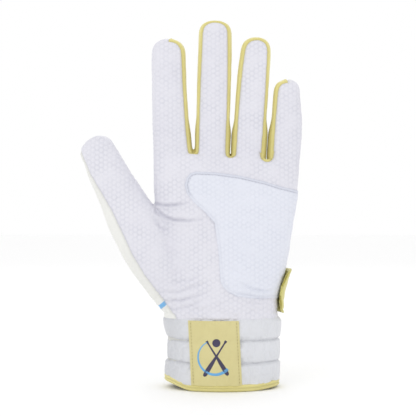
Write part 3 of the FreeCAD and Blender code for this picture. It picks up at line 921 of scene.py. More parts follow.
def mathNode(tree, operation, *values):
    node = tree.nodes.new("ShaderNodeMath")
    node.operation = operation
    for socket, value in zip(node.inputs, values):
        if isinstance(value, (int, float)):
            socket.default_value = value
        else:
            tree.links.new(value, socket)
    return node.outputs[0]


def mixColour(tree, share, first, second):
    node = tree.nodes.new("ShaderNodeMix")
    node.data_type = "RGBA"
    for socket, value in ((node.inputs[0], share), (node.inputs[6], first), (node.inputs[7], second)):
        if isinstance(value, tuple):
            socket.default_value = (*value, 1)
        elif isinstance(value, (int, float)):
            socket.default_value = value
        else:
            tree.links.new(value, socket)
    return node.outputs[2]


def noiseNode(tree, vector, scale, detail=3.0, rough=0.55):
    node = tree.nodes.new("ShaderNodeTexNoise")
    node.inputs["Scale"].default_value = scale
    node.inputs["Detail"].default_value = detail
    node.inputs["Roughness"].default_value = rough
    tree.links.new(vector, node.inputs["Vector"])
    return node.outputs["Fac"]


def rangeNode(tree, value, fromLow, fromHigh, toLow=0.0, toHigh=1.0):
    node = tree.nodes.new("ShaderNodeMapRange")
    tree.links.new(value, node.inputs["Value"])
    ends = {"From Min": fromLow, "From Max": fromHigh, "To Min": toLow, "To Max": toHigh}
    for label, number in ends.items():
        node.inputs[label].default_value = number
    return node.outputs["Result"]


# sizes of the noise patterns, in repeats per metre
scales = {"pebbles": 1400, "fine": 2600, "leatherDrift": 38, "clothDrift": 45, "patches": 110}


def buildGrain():
    # fine leather grain, and a soft drift for colour and gloss
    group, enter, leave = newGroup(
        "leatherGrain",
        [("Vector", "NodeSocketVector", None), ("Scale", "NodeSocketFloat", 1.0)],
        [("Height", "NodeSocketFloat"), ("Drift", "NodeSocketFloat")],
    )
    scaled = group.nodes.new("ShaderNodeVectorMath")
    scaled.operation = "SCALE"
    group.links.new(enter.outputs["Vector"], scaled.inputs[0])
    group.links.new(enter.outputs["Scale"], scaled.inputs["Scale"])
    pebbles = group.nodes.new("ShaderNodeTexVoronoi")
    pebbles.feature = "SMOOTH_F1"
    pebbles.inputs["Scale"].default_value = scales["pebbles"]
    group.links.new(scaled.outputs[0], pebbles.inputs["Vector"])
    fine = noiseNode(group, scaled.outputs[0], scales["fine"], 2.0)
    height = mathNode(group, "MULTIPLY_ADD", pebbles.outputs["Distance"], 0.7, fine)
    group.links.new(height, leave.inputs["Height"])
    drift = noiseNode(group, enter.outputs["Vector"], scales["leatherDrift"], 3.0)
    group.links.new(drift, leave.inputs["Drift"])
    return group


def buildHex():
    # honeycomb of embossed cells: 0 in the grooves, 1 on the cells
    group, enter, leave = newGroup(
        "hexEmboss",
        [("Vector", "NodeSocketVector", None), ("Pitch", "NodeSocketFloat", 3.1)],
        [("Cell", "NodeSocketFloat")],
    )
    parts = group.nodes.new("ShaderNodeSeparateXYZ")
    group.links.new(enter.outputs["Vector"], parts.inputs[0])
    u, v = parts.outputs[0], parts.outputs[1]
    k = mathNode(group, "DIVIDE", 4 * math.pi / math.sqrt(3), enter.outputs["Pitch"])
    half = mathNode(group, "MULTIPLY", u, 0.5)
    lean = mathNode(group, "MULTIPLY", v, 0.8660254)
    total = mathNode(group, "COSINE", mathNode(group, "MULTIPLY", u, k))
    for operation in ("ADD", "SUBTRACT"):
        slanted = mathNode(group, operation, half, lean)
        wave = mathNode(group, "COSINE", mathNode(group, "MULTIPLY", slanted, k))
        total = mathNode(group, "ADD", total, wave)
    group.links.new(rangeNode(group, total, -1.1, 0.6), leave.inputs["Cell"])
    return group


def buildWeave():
    # plain weave round the glove and along its height
    group, enter, leave = newGroup(
        "clothWeave",
        [("Vector", "NodeSocketVector", None), ("Threads", "NodeSocketFloat", 1500.0)],
        [("Height", "NodeSocketFloat"), ("Gap", "NodeSocketFloat"), ("Drift", "NodeSocketFloat")],
    )
    parts = group.nodes.new("ShaderNodeSeparateXYZ")
    group.links.new(enter.outputs["Vector"], parts.inputs[0])
    around = mathNode(group, "ADD", parts.outputs[0], mathNode(group, "MULTIPLY", parts.outputs[1], 0.8))
    waves = []
    for source in (around, parts.outputs[2]):
        waves.append(mathNode(group, "SINE", mathNode(group, "MULTIPLY", source, enter.outputs["Threads"])))
    woven = mathNode(group, "MULTIPLY", waves[0], waves[1])
    group.links.new(rangeNode(group, woven, -1, 1), leave.inputs["Height"])
    group.links.new(rangeNode(group, woven, -1, -0.5, 1, 0), leave.inputs["Gap"])
    drift = noiseNode(group, enter.outputs["Vector"], scales["clothDrift"], 2.0)
    group.links.new(drift, leave.inputs["Drift"])
    return group


def buildPrint():
    # a slanting stripe: 1 inside it, with a soft edge
    group, enter, leave = newGroup(
        "stripePrint",
        [
            ("Vector", "NodeSocketVector", None), ("Height", "NodeSocketFloat", 0.085),
            ("Slope", "NodeSocketFloat", 0.9), ("HalfWidth", "NodeSocketFloat", 0.002),
            ("Start", "NodeSocketFloat", -0.06),
        ],
        [("Mask", "NodeSocketFloat")],
    )
    parts = group.nodes.new("ShaderNodeSeparateXYZ")
    group.links.new(enter.outputs["Vector"], parts.inputs[0])
    across = mathNode(group, "MULTIPLY", parts.outputs[0], enter.outputs["Slope"])
    above = mathNode(group, "SUBTRACT", parts.outputs[2], across)
    off = mathNode(group, "SUBTRACT", above, enter.outputs["Height"])
    inside = mathNode(group, "SUBTRACT", enter.outputs["HalfWidth"], mathNode(group, "ABSOLUTE", off))
    edge = rangeNode(group, inside, -0.0001, 0.0002)
    beyond = mathNode(group, "SUBTRACT", parts.outputs[0], enter.outputs["Start"])
    started = rangeNode(group, beyond, 0, 0.0004)
    group.links.new(mathNode(group, "MULTIPLY", edge, started), leave.inputs["Mask"])
    return group


grainGroup, hexGroup, weaveGroup, printGroup = buildGrain(), buildHex(), buildWeave(), buildPrint()


def startMaterial(name, roughness, sheen=0.0, specular=0.4):
    material = bpy.data.materials.new(name)
    material.use_nodes = True
    tree = material.node_tree
    shader = tree.nodes["Principled BSDF"]
    shader.inputs["Roughness"].default_value = roughness
    shader.inputs["Specular IOR Level"].default_value = specular
    if sheen:
        shader.inputs["Sheen Weight"].default_value = sheen
        shader.inputs["Sheen Roughness"].default_value = 0.5
    coordinates = tree.nodes.new("ShaderNodeTexCoord")
    return material, tree, shader, coordinates.outputs["Object"]


def placeGroup(tree, group, vector, **values):
    node = tree.nodes.new("ShaderNodeGroup")
    node.node_tree = group
    tree.links.new(vector, node.inputs["Vector"])
    for label, value in values.items():
        node.inputs[label].default_value = value
    return node


def bumpFrom(tree, shader, height, distance, strength=1.0):
    bump = tree.nodes.new("ShaderNodeBump")
    bump.inputs["Distance"].default_value = distance
    bump.inputs["Strength"].default_value = strength
    tree.links.new(height, bump.inputs["Height"])
    tree.links.new(bump.outputs["Normal"], shader.inputs["Normal"])


def driftColour(tree, drift, values):
    return mixColour(tree, rangeNode(tree, drift, 0.3, 0.7), values["colour"], values["shade"])


def toneColour(tree, shader, colour, deep, share):
    # painted shade: the colour goes over to a darker one where the painted shade mask says, in seams,
    # creases, grooves and gaps
    paintedShade = tree.nodes.new("ShaderNodeAttribute")
    paintedShade.attribute_name = "paintedShade"
    paintedShadeShare = mathNode(tree, "MULTIPLY", paintedShade.outputs["Fac"], share)
    tree.links.new(mixColour(tree, paintedShadeShare, colour, deep), shader.inputs["Base Color"])


def leatherMaterial(name, values):
    # values: colour, shade, painted shade colour for seams, creases and gaps, rough, grain, and where it is
    # embossed pitch and painted shade colour for its grooves
    material, tree, shader, place = startMaterial(name, values["rough"], 0.12)
    grain = placeGroup(tree, grainGroup, place, Scale=values.get("grain", 1.0))
    colour = driftColour(tree, grain.outputs["Drift"], values)
    height = grain.outputs["Height"]
    if "pitch" in values:
        pattern = tree.nodes.new("ShaderNodeUVMap")
        pattern.uv_map = "pattern"
        cells = placeGroup(tree, hexGroup, pattern.outputs["UV"], Pitch=values["pitch"])
        # painted shade in the embossing's grooves, patchy in strength
        patchy = rangeNode(tree, noiseNode(tree, place, scales["patches"], 2.0), 0.35, 0.65, 0.15, 0.9)
        grooveShade = mathNode(tree, "SUBTRACT", 1.0, cells.outputs["Cell"])
        pressed = mathNode(tree, "SUBTRACT", 1.0, mathNode(tree, "MULTIPLY", patchy, grooveShade))
        colour = mixColour(tree, pressed, values["grooveShade"], colour)
        height = mathNode(tree, "MULTIPLY_ADD", cells.outputs["Cell"], 1.4, height)
    for stripe in values.get("stripes", []):
        mask = placeGroup(tree, printGroup, place, **stripe)
        colour = mixColour(tree, mask.outputs["Mask"], colour, values["print"])
    toneColour(tree, shader, colour, values["paintedShadeColour"], values.get("paintedShadeShare", 0.55))
    rough = values["rough"]
    gloss = rangeNode(tree, grain.outputs["Height"], 0.2, 1.2, rough + 0.1, rough - 0.08)
    tree.links.new(gloss, shader.inputs["Roughness"])
    bumpFrom(tree, shader, height, 0.00008, values.get("bump", 0.6))
    return material


def clothMaterial(name, values):
    # values: colour, shade, threads, rough, bump, sheen
    material, tree, shader, place = startMaterial(name, values["rough"], values.get("sheen", 0.35), 0.25)
    weave = placeGroup(tree, weaveGroup, place, Threads=values["threads"])
    drifted = driftColour(tree, weave.outputs["Drift"], values)
    darker = tuple(value * 0.86 for value in values["shade"])
    colour = mixColour(tree, mathNode(tree, "MULTIPLY", weave.outputs["Gap"], 0.5), drifted, darker)
    # painted shade: the cloth goes over to a darker colour where the painted shade mask says
    deep = tuple(value * 0.6 for value in values["shade"])
    toneColour(tree, shader, colour, deep, values.get("paintedShadeShare", 0.5))
    bumpFrom(tree, shader, weave.outputs["Height"], values.get("bump", 0.0001), 0.8)
    return material


# each leather's third colour is painted shade for its seams, creases and gaps; an embossed leather's groove
# colour is painted shade in the embossing's grooves; a share sets how strong the painted shade is
leathers = {
    "palm": {"colour": (0.735, 0.73, 0.785), "shade": (0.705, 0.7, 0.76), "paintedShadeColour": (0.43, 0.43, 0.51),
             "rough": 0.52, "pitch": 3.1, "grooveShade": (0.635, 0.635, 0.7)},
    "back": {"colour": (0.80, 0.80, 0.77), "shade": (0.76, 0.76, 0.73), "paintedShadeColour": (0.50, 0.50, 0.48),
             "rough": 0.45, "print": (0.16, 0.43, 0.75),
             "stripes": [{"Height": 0.0856, "Slope": 0.9, "HalfWidth": 0.0019, "Start": -0.06},
                         {"Height": 0.0915, "Slope": 0.9, "HalfWidth": 0.0009, "Start": -0.024}]},
    "overlay": {"colour": (0.735, 0.75, 0.825), "shade": (0.715, 0.735, 0.81), "paintedShadeColour": (0.38, 0.4, 0.5),
                "rough": 0.5, "grain": 0.9, "pitch": 3.1, "grooveShade": (0.67, 0.69, 0.77), "paintedShadeShare": 0.8},
    "side": {"colour": (0.76, 0.69, 0.28), "shade": (0.70, 0.63, 0.24), "paintedShadeColour": (0.42, 0.35, 0.10),
             "rough": 0.5, "grain": 1.3},
    "strap": {"colour": (0.66, 0.61, 0.21), "shade": (0.60, 0.55, 0.18), "paintedShadeColour": (0.36, 0.32, 0.08),
              "rough": 0.42, "grain": 1.2, "paintedShadeShare": 0.8},
}
# a cloth's share sets how strong its painted shade is
cloths = {
    "cuff": {"colour": (0.70, 0.71, 0.745), "shade": (0.68, 0.69, 0.725), "threads": 9000, "rough": 0.8,
             "bump": 0.00006},
    "lining": {"colour": (0.52, 0.52, 0.56), "shade": (0.47, 0.47, 0.51), "threads": 8000, "rough": 0.85},
    "label": {"colour": (0.67, 0.605, 0.305), "shade": (0.64, 0.575, 0.28), "threads": 11000, "rough": 0.6,
              "bump": 0.00005, "sheen": 0.2},
    "binding": {"colour": (0.76, 0.69, 0.30), "shade": (0.71, 0.64, 0.26), "threads": 9000, "rough": 0.6,
                "bump": 0.00008, "sheen": 0.25, "paintedShadeShare": 0.9},
    "thread": {"colour": (0.60, 0.60, 0.66), "shade": (0.50, 0.50, 0.56), "threads": 16000, "rough": 0.6},
    "labelThread": {"colour": (0.46, 0.38, 0.15), "shade": (0.38, 0.31, 0.11), "threads": 16000,
                    "rough": 0.6},
    "foam": {"colour": (0.62, 0.62, 0.60), "shade": (0.55, 0.55, 0.52), "threads": 4000, "rough": 0.95},
    "navy": {"colour": (0.07, 0.062, 0.115), "shade": (0.055, 0.05, 0.09), "threads": 11000, "rough": 0.5,
             "sheen": 0.1, "bump": 0.00004},
    "sky": {"colour": (0.16, 0.43, 0.75), "shade": (0.14, 0.39, 0.70), "threads": 11000, "rough": 0.5,
            "sheen": 0.1, "bump": 0.00004},
    "hook": {"colour": (0.62, 0.62, 0.62), "shade": (0.54, 0.54, 0.54), "threads": 6000, "rough": 0.55,
             "bump": 0.0003},
    "loop": {"colour": (0.74, 0.74, 0.74), "shade": (0.66, 0.66, 0.66), "threads": 9000, "rough": 0.95,
             "sheen": 0.8, "bump": 0.0003},
    "elastic": {"colour": (0.72, 0.72, 0.72), "shade": (0.62, 0.62, 0.62), "threads": 5000, "rough": 0.8,
                "bump": 0.0002},
    "stretch": {"colour": (0.62, 0.62, 0.65), "shade": (0.56, 0.56, 0.59), "threads": 8000, "rough": 0.7},
}
leather = {name: leatherMaterial(name + "Leather", values) for name, values in leathers.items()}
cloth = {name: clothMaterial(name + "Cloth", values) for name, values in cloths.items()}

# leather pieces cut from the outside

print("leather pieces")
wall = {"palm": 0.9, "back": 0.8, "side": 0.7}


def closeLayer(mesh, thickness, crisp=55):
    # gives a surface its thickness, inwards, and keeps its cut edges crisp
    thing = makeObject("layer", mesh)
    thick = thing.modifiers.new("wall", "SOLIDIFY")
    thick.thickness = thickness * mm
    thick.offset = -1
    thick.use_even_offset = False
    data = baked(thing, "layer")
    closed = bmesh.new()
    closed.from_mesh(data)
    bpy.data.meshes.remove(data)
    closed.normal_update()
    for edge in closed.edges:
        if len(edge.link_faces) == 2 and edge.calc_face_angle(0) > math.radians(crisp):
            edge.smooth = False
    return closed


def pieceOfSkin(name, kind, zone):
    # the outside's faces of one leather in one zone, as a closed layer
    number = partNames.index((kind, zone))
    piece = skin.copy()
    layer = piece.faces.layers.int["part"]
    keepOnly(piece, lambda face: face[layer] == number)
    return makeObject(name, closeLayer(piece, wall[kind]))


def fingerZone(name, part):
    place = frames[name]
    low, high = seams["zones"][name]
    start = seams["thumbStart"] if name == "thumb" else seams["zoneStart"]
    ends = (start, low - 0.5) if part == "Base" else (low + 0.5, high)
    return [place @ Vector((0, 0, height * mm)) for height in ends]


for kind in ("palm", "back"):
    piece = pieceOfSkin(kind + "Leather", kind, "hand")
    finish(piece, leather[kind], wristBodies, [kind + "_panel"], wristBlend)
for number, web in enumerate(webNames):
    piece = pieceOfSkin("web_" + web, "side", f"web{number}")
    finish(piece, leather["side"], "hand", ["web_fourchette_" + web])
words = {"palm": "front", "back": "back", "side": "fourchette"}
for name in frames:
    for part, bodies in (("Base", ("hand", name + "_base")), ("Tip", (name + "_base", name + "_tip"))):
        for kind, word in words.items():
            if (kind, name + part) not in partNames:
                continue
            nodes = [node for node in nodeNames if node.startswith(f"{name}_{part.lower()}_{word}")]
            piece = pieceOfSkin(name + part + word.capitalize(), kind, name + part)
            finish(piece, leather[kind], bodies, nodes, fingerZone(name, part))

# the overlay and the foam pad behind the palm

print("overlay")


def seamTree(mesh):
    return nearTree([vert.co for vert in mesh.verts if vert.is_boundary])


def overlayPiece():
    mesh = overlaySkin
    paintedShade = mesh.verts.layers.float.new("paintedShade")
    tree = seamTree(mesh)
    mesh.normal_update()
    moves = []
    for vert in mesh.verts:
        away = tree.find(vert.co)[2] / mm
        u, v = flatPlace(vert.co, vert.normal)
        lift = reliefAt(vert.co, vert.normal, "palm") + overlay["lift"] - 0.3 * bell(away, 0, 0.6)
        stitched = bell(away, overlay["seamInside"], 0.5)
        lift += 0.22 * smoothStep(away, 1.5, 5) - 0.22 * stitched
        lift += overlay["emboss"] * hexWave(u, v, relief["hexPitch"]) * smoothStep(away, 1.5, 3)
        # painted shade along the overlay's edge and its stitch groove, strongest at the top edge where its
        # shadow falls
        topEdgeShade = 0.25 + 0.75 * smoothStep(vert.co.z / mm, 117, 124)
        vert[paintedShade] = topEdgeShade * min(1.0, 0.7 * stitched + 0.6 * bell(away, 0, 0.5))
        moves.append((vert, vert.normal * lift * mm))
    moveAll(mesh, moves)
    addPattern(mesh)
    return makeObject("palmOverlay", closeLayer(mesh, overlay["thickness"]))


finish(overlayPiece(), leather["overlay"], "hand", ["palm_overlay"])
overlayTree = treeOf(bpy.data.objects["palmOverlay"])


def foamPiece():
    mesh = foamSkin
    tree = seamTree(mesh)
    mesh.normal_update()
    for vert in mesh.verts:
        vert.co -= vert.normal * (foamPad["depth"] + 0.5) * mm
    mesh = closeLayer(mesh, foamPad["thickness"])
    for vert in mesh.verts:
        thin = 0.55 * (1 - smoothStep(tree.find(vert.co)[2] / mm, 1.5, 5.0))
        vert.co -= vert.normal * thin * mm
    mesh.normal_update()
    return makeObject("palmFoam", mesh)


finish(foamPiece(), cloth["foam"], "hand", ["palm_foam_pad"])

# rows of stitches

stitch = {"half": 0.72, "wide": 0.2, "high": 0.17, "pitch": 2.1}


def evenly(points, pitch):
    # places along a run of points, one pitch apart, with the run's direction there
    places, carried = [], pitch / 2
    for start, end in zip(points, points[1:]):
        run = end - start
        while carried < run.length:
            places.append((start + run * (carried / run.length), run.normalized()))
            carried += pitch
        carried -= run.length
    return places


def stitchRow(name, places, material, bodies, zone=None, size=stitch):
    # places: point on the surface, direction of the row, outward
    mesh = bmesh.new()
    for point, along, out in places:
        side = out.cross(along).normalized()
        turn = Matrix((side.cross(out), side, out)).transposed().to_4x4()
        made = bmesh.ops.create_uvsphere(mesh, u_segments=6, v_segments=4, radius=1)
        sizes = Vector((size["half"], size["wide"], size["high"])) * mm
        bmesh.ops.scale(mesh, vec=sizes, verts=made["verts"])
        bmesh.ops.transform(mesh, matrix=Matrix.Translation(point) @ turn, verts=made["verts"])
    return finish(makeObject(name, mesh), material, bodies, (), zone)


# where the rays start: straight from the front or the back, and round the glove's axis
rayStart = {"flat": 0.06, "round": 0.08}


def onSurface(tree, x, z, side):
    # seen straight from the front (side -1) or the back (side 1): the point and its outward direction
    point, normal = tree.ray_cast(Vector((x, side * rayStart["flat"], z)), Vector((0, -side, 0)))[:2]
    return None if point is None else (point, normal)


def rowOn(tree, flats, side, pitch=stitch["pitch"]):
    places = []
    for spot, along in evenly([Vector((x, 0, z)) * mm for x, z in flats], pitch * mm):
        found = onSurface(tree, spot.x, spot.z, side)
        if found:
            places.append((found[0], along, found[1]))
    return places


topEdge = [
    (-19.6, 120.2), (-21.2, 124), (-21.2, 128), (-18.7, 132.6), (-15.6, 133.8), (-4, 133.3),
    (11, 131.2), (27, 127.5), (36, 124.7), (45.5, 122.4),
]
stitchRow("overlayStitches", rowOn(overlayTree, topEdge, -1), cloth["thread"], "hand")
for number, seam in enumerate(relief["backSeams"]):
    for offset, mark in ((-1.5, "a"), (1.5, "b")):
        row = rowOn(handTree, [(x, z + offset) for x, z in seam], 1)
        stitchRow(f"backStitches{number}{mark}", row, cloth["thread"], "hand")
slitRow = [(-4.2, 76), (-4.2, 91), (-3, 94.3), (0, 95.8), (3, 94.3), (4.2, 91), (4.2, 76)]
stitchRow("slitStitches", rowOn(handTree, slitRow, 1), cloth["thread"], "hand")

# cuff: channels of cloth filled with foam, between seams that run round the wrist

print("cuff")
cuff = {
    "seams": [17.0, 31.0],
    # height, half width to the thumb's side, to the little finger's side, half depth
    "stations": [
        (1.6, 35.0, 35.2, 22.9),
        (4.5, 35.6, 35.7, 23.3),
        (8, 36.1, 36.4, 23.8),
        (12, 35.8, 36.6, 23.9),
        (15.4, 34.6, 36.2, 23.2),
        (17, 33.6, 35.7, 22.5),
        (18.6, 34.3, 36.0, 23.0),
        (24, 35.1, 36.8, 23.7),
        (29.4, 34.0, 36.2, 23.0),
        (31, 33.1, 35.7, 22.3),
        (32.6, 34.1, 36.1, 22.9),
        (37, 35.6, 36.9, 23.6),
        (41, 36.5, 37.1, 23.6),
        (43.4, 36.6, 36.6, 23.0),
        (44.8, 35.8, 35.2, 21.8),
    ],
    "step": 1.35,
    "segments": 156,
    "riseThumb": 4.2,
    "riseLittle": 1.2,
    "wall": 0.8,
    "reach": 0.9,  # how far the filling may push the cloth
}


def hemRise(point):
    # the mouth's edge stands higher at the two sides of the wrist
    side = point.x / (36 * mm)
    lift = cuff["riseThumb"] if side < 0 else cuff["riseLittle"]
    return lift * smoothStep(abs(side), 0.5, 1.0) * mm * (1 - smoothStep(point.z / mm, 2, 27))


def cuffTube(name, stations, step, segments):
    # an open tube through the stations, with rings at every seam
    heights, height = [], stations[0][0]
    while height < stations[-1][0]:
        heights.append(height)
        height += step
    heights.append(stations[-1][0])
    for seam in cuff["seams"]:
        nearest = min(range(len(heights)), key=lambda number: abs(heights[number] - seam))
        heights[nearest] = seam
    mesh = bmesh.new()
    rings = []
    for height in heights:
        left, right, depth = between(stations, height)
        place = Matrix.Translation((0, 0, height * mm))
        rings.append(ringOf(mesh, place, left * mm, right * mm, depth * mm, 2.05, segments))
    tubeOf(mesh, rings, False)
    bmesh.ops.recalc_face_normals(mesh, faces=mesh.faces)
    for vert in mesh.verts:
        vert.co.z += hemRise(vert.co)
    return makeObject(name, mesh)


filling = {
    "quality": 6,
    "mass": 0.02,
    "vertex_group_mass": "sewn",
    "tension_stiffness": 12,
    "compression_stiffness": 6,
    "shear_stiffness": 4,
    "bending_stiffness": 0.05,
    "shrink_min": -0.045,
    "shrink_max": -0.045,
    "use_pressure": True,
    "uniform_pressure_force": 4,
}
fillFrames = 20


def fillChannels(thing):
    # the foam pushes the cloth out between its seams: a short cloth run, with a limit on every point
    start = [vert.co.copy() for vert in thing.data.vertices]
    group = thing.vertex_groups.new(name="sewn")
    lines = cuff["seams"] + [cuff["stations"][0][0], cuff["stations"][-1][0]]
    for number, point in enumerate(start):
        height = (point.z - hemRise(point)) / mm
        held = min(abs(height - line) for line in lines) < 0.8
        group.add([number], 1.0 if held or height < 4 else 0.0, "REPLACE")
    run = thing.modifiers.new("cloth", "CLOTH")
    for label, value in filling.items():
        setattr(run.settings, label, value)
    run.settings.effector_weights.gravity = 0
    run.collision_settings.use_collision = False
    run.point_cache.frame_start, run.point_cache.frame_end = 1, fillFrames
    for number in range(1, fillFrames + 1):
        scene.frame_set(number)
    depsgraph = bpy.context.evaluated_depsgraph_get()
    moved = [vert.co.copy() for vert in thing.evaluated_get(depsgraph).data.vertices]
    thing.modifiers.remove(run)
    limit, largest = cuff["reach"] * mm, 0.0
    for vert, before, after in zip(thing.data.vertices, start, moved):
        move = after - before
        largest = max(largest, move.length)
        if move.length > limit:
            move = move * (limit / move.length)
        vert.co = before + move
    thing.vertex_groups.clear()
    scene.frame_set(1)
    print("  largest move", round(largest / mm, 2))


def quiltPiece():
    thing = cuffTube("cuffQuilt", cuff["stations"], cuff["step"], cuff["segments"])
    fillChannels(thing)
    mesh = bmesh.new()
    mesh.from_mesh(thing.data)
    bpy.data.objects.remove(thing)
    bmesh.ops.subdivide_edges(mesh, edges=list(mesh.edges), cuts=1, use_grid_fill=True, smooth=0.6)
    paintedShade = mesh.verts.layers.float.new("paintedShade")
    mesh.normal_update()
    moves = []
    for vert in mesh.verts:
        height = (vert.co.z - hemRise(vert.co)) / mm
        turn = math.atan2(vert.co.y, vert.co.x)
        away = min(abs(height - seam) for seam in cuff["seams"])
        pucker = math.sin(turn * 61 + 5 * noise.noise(Vector((turn * 3, height * 0.1, 2))))
        slack = noise.noise(Vector((turn * 4.2, height * 0.06, 5))) * 0.45
        lift = 0.07 * pucker * bell(away, 1.8, 1.6) + slack * smoothStep(away, 0.5, 4)
        lift -= 0.35 * bell(away, 0, 0.7)
        # painted shade: darker along the cuff's seam grooves, and towards the thumb's side on faces that
        # don't turn to the back
        thumbSideShade = smoothStep(-vert.co.x, 0.016, 0.034) if vert.normal.y < 0.3 else 0.0
        vert[paintedShade] = 0.5 * bell(away, 0, 0.9) + 0.7 * thumbSideShade
        moves.append((vert, vert.normal * lift * mm))
    moveAll(mesh, moves)
    return makeObject("cuffQuilt", closeLayer(mesh, cuff["wall"]))


quilt = quiltPiece()
quiltTree = treeOf(quilt)
quiltNodes = ["cuff_channel_skin", "wrist_channel_skin"]
finish(quilt, cloth["cuff"], wristBodies, quiltNodes, wristBlend)

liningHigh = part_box("cuff_lining")[1]
inner = {
    "half": liningHigh.x / mm, "depth": liningHigh.y / mm, "wall": 0.8, "foamWall": 0.9,
    "foot": 3.0, "top": 44.4,
}


def innerTube(name, stations, thickness, cells=120):
    # rings of (height, half width, half depth), then the wall inwards
    mesh = bmesh.new()
    rings = []
    for height, half, depth in stations:
        place = Matrix.Translation((0, 0, height * mm))
        rings.append(ringOf(mesh, place, half * mm, half * mm, depth * mm, 2.0, cells))
    tubeOf(mesh, rings, False)
    bmesh.ops.recalc_face_normals(mesh, faces=mesh.faces)
    for vert in mesh.verts:
        vert.co.z += hemRise(vert.co)
    bmesh.ops.solidify(mesh, geom=list(mesh.faces), thickness=thickness * mm)
    mesh.normal_update()
    return makeObject(name, mesh)


heights = [inner["foot"] + (inner["top"] - inner["foot"]) * number / 16 for number in range(17)]
liningRings, foamRings = [], []
for height in heights:
    slack = 0.25 * math.sin(height * 0.9)
    liningRings.append((height, inner["half"] + slack, inner["depth"] + slack))
    full = 0.6 * abs(math.sin((height - 3) * math.pi / 14))
    foamRings.append((height, inner["half"] + 1.3 + full, inner["depth"] + 1.2))
lining = innerTube("cuffLining", liningRings, inner["wall"])
finish(lining, cloth["lining"], wristBodies, ["cuff_lining", "wrist_lining"], wristBlend)
foam = innerTube("cuffFoam", foamRings, inner["foamWall"])
finish(foam, cloth["foam"], wristBodies, ["cuff_channel_foam", "wrist_channel_foam"], wristBlend)

# binding: a tape folded round the mouth, with two soft ridges outside

binding = {
    # how far outside the cuff's lowest ring, and height
    "outline": [
        (-3.6, 4.1), (-3.8, 2.4), (-3.4, 0.9), (-2.2, 0.15), (-0.9, 0.0), (0.2, 0.25), (0.75, 0.85),
        (0.85, 1.45), (0.55, 2.0), (0.42, 2.3), (0.62, 2.65), (0.88, 3.1), (0.9, 3.6), (0.7, 4.15),
        (0.35, 4.5), (-0.2, 4.45),
        (-0.35, 3.6), (-0.4, 2.2), (-1.4, 1.3), (-2.5, 1.5), (-2.7, 2.6), (-2.8, 4.1),
    ],
    "half": 35.4,
    "depth": 23.1,
}


def bindingPiece():
    mesh = bmesh.new()
    rings = []
    for out, height in binding["outline"]:
        place = Matrix.Translation((0.1 * mm, 0, height * mm))
        half, depth = (binding["half"] + out) * mm, (binding["depth"] + out) * mm
        rings.append(ringOf(mesh, place, half, half, depth, 2.03, 200))
    tubeOf(mesh, rings + rings[:1], False)
    bmesh.ops.recalc_face_normals(mesh, faces=mesh.faces)
    paintedShade = mesh.verts.layers.float.new("paintedShade")
    for vert in mesh.verts:
        turn = math.atan2(vert.co.y, vert.co.x)
        height = vert.co.z / mm
        # painted shade in the groove between the two ridges and towards the binding's lower edge
        vert[paintedShade] = 0.55 * bell(height, 2.25, 0.4) + 0.3 * (1 - smoothStep(height, 0.2, 2))
        ripple = 0.09 * math.sin(turn * 95) + 0.16 * noise.noise(Vector((turn * 6, vert.co.z * 300, 1)))
        vert.co += Vector((vert.co.x, vert.co.y * 1.6, 0)).normalized() * ripple * mm
        vert.co.z += hemRise(vert.co)
    mesh.normal_update()
    return makeObject("cuffBinding", mesh)


finish(bindingPiece(), cloth["binding"], "cuff", ["cuff_binding"])


def mappedGrid(mesh, across, along, place):
    # a grid whose corners go through place(u, v), both from 0 to 1
    made = bmesh.ops.create_grid(mesh, x_segments=across, y_segments=along, size=0.5)
    for vert in made["verts"]:
        vert.co = place(vert.co.x + 0.5, vert.co.y + 0.5)
    return made["verts"]


# label on the palm side of the cuff, with a plain motif of crossed bats, a ball and an open ring

labelLow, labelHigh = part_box("wrist_label")
label = {
    "left": labelLow.x / mm - 0.4, "right": labelHigh.x / mm - 0.6,
    "low": labelLow.z / mm, "high": labelHigh.z / mm + 0.5,
    "slant": 2.0, "lift": 0.62, "wall": 0.6, "stitchIn": 1.5,
}


def onLabel(x, z, lift):
    # bridges the cuff's seams: the furthest of five places up and down
    nearest = 0.0
    for step in (-3.2, -1.6, 0, 1.6, 3.2):
        level = min(43.2, max(3.5, z + step))
        point = onSurface(quiltTree, x * mm, level * mm, -1)[0]
        nearest = min(nearest, point.y + abs(step) * 0.055 * mm)
    return Vector((x * mm, nearest - lift * mm, z * mm))


def labelPlace(u, v):
    z = label["low"] + (label["high"] - label["low"]) * v
    x = label["left"] + (label["right"] - label["left"]) * u + label["slant"] * (1 - v)
    return onLabel(x, z, label["lift"] + 0.12 * noise.noise(Vector((x * 0.12, z * 0.14, 4))))


def labelPiece():
    mesh = bmesh.new()
    mappedGrid(mesh, 60, 76, labelPlace)
    evenOut(mesh, 6, 0.5)
    faceOut(mesh, front)
    paintedShade = mesh.verts.layers.float.new("paintedShade")
    width = label["right"] - label["left"]
    for vert in mesh.verts:
        v = (vert.co.z / mm - label["low"]) / (label["high"] - label["low"])
        inside = vert.co.x / mm - label["left"] - label["slant"] * (1 - v)
        row = min(abs(inside - label["stitchIn"]), abs(width - inside - label["stitchIn"]))
        # painted shade along the stitch rows, where the cloth is pulled in
        pulled = bell(row, 0, 0.55)
        vert.co.y += 0.16 * pulled * mm
        vert[paintedShade] = 0.35 * pulled
    return makeObject("wristLabel", closeLayer(mesh, label["wall"]))


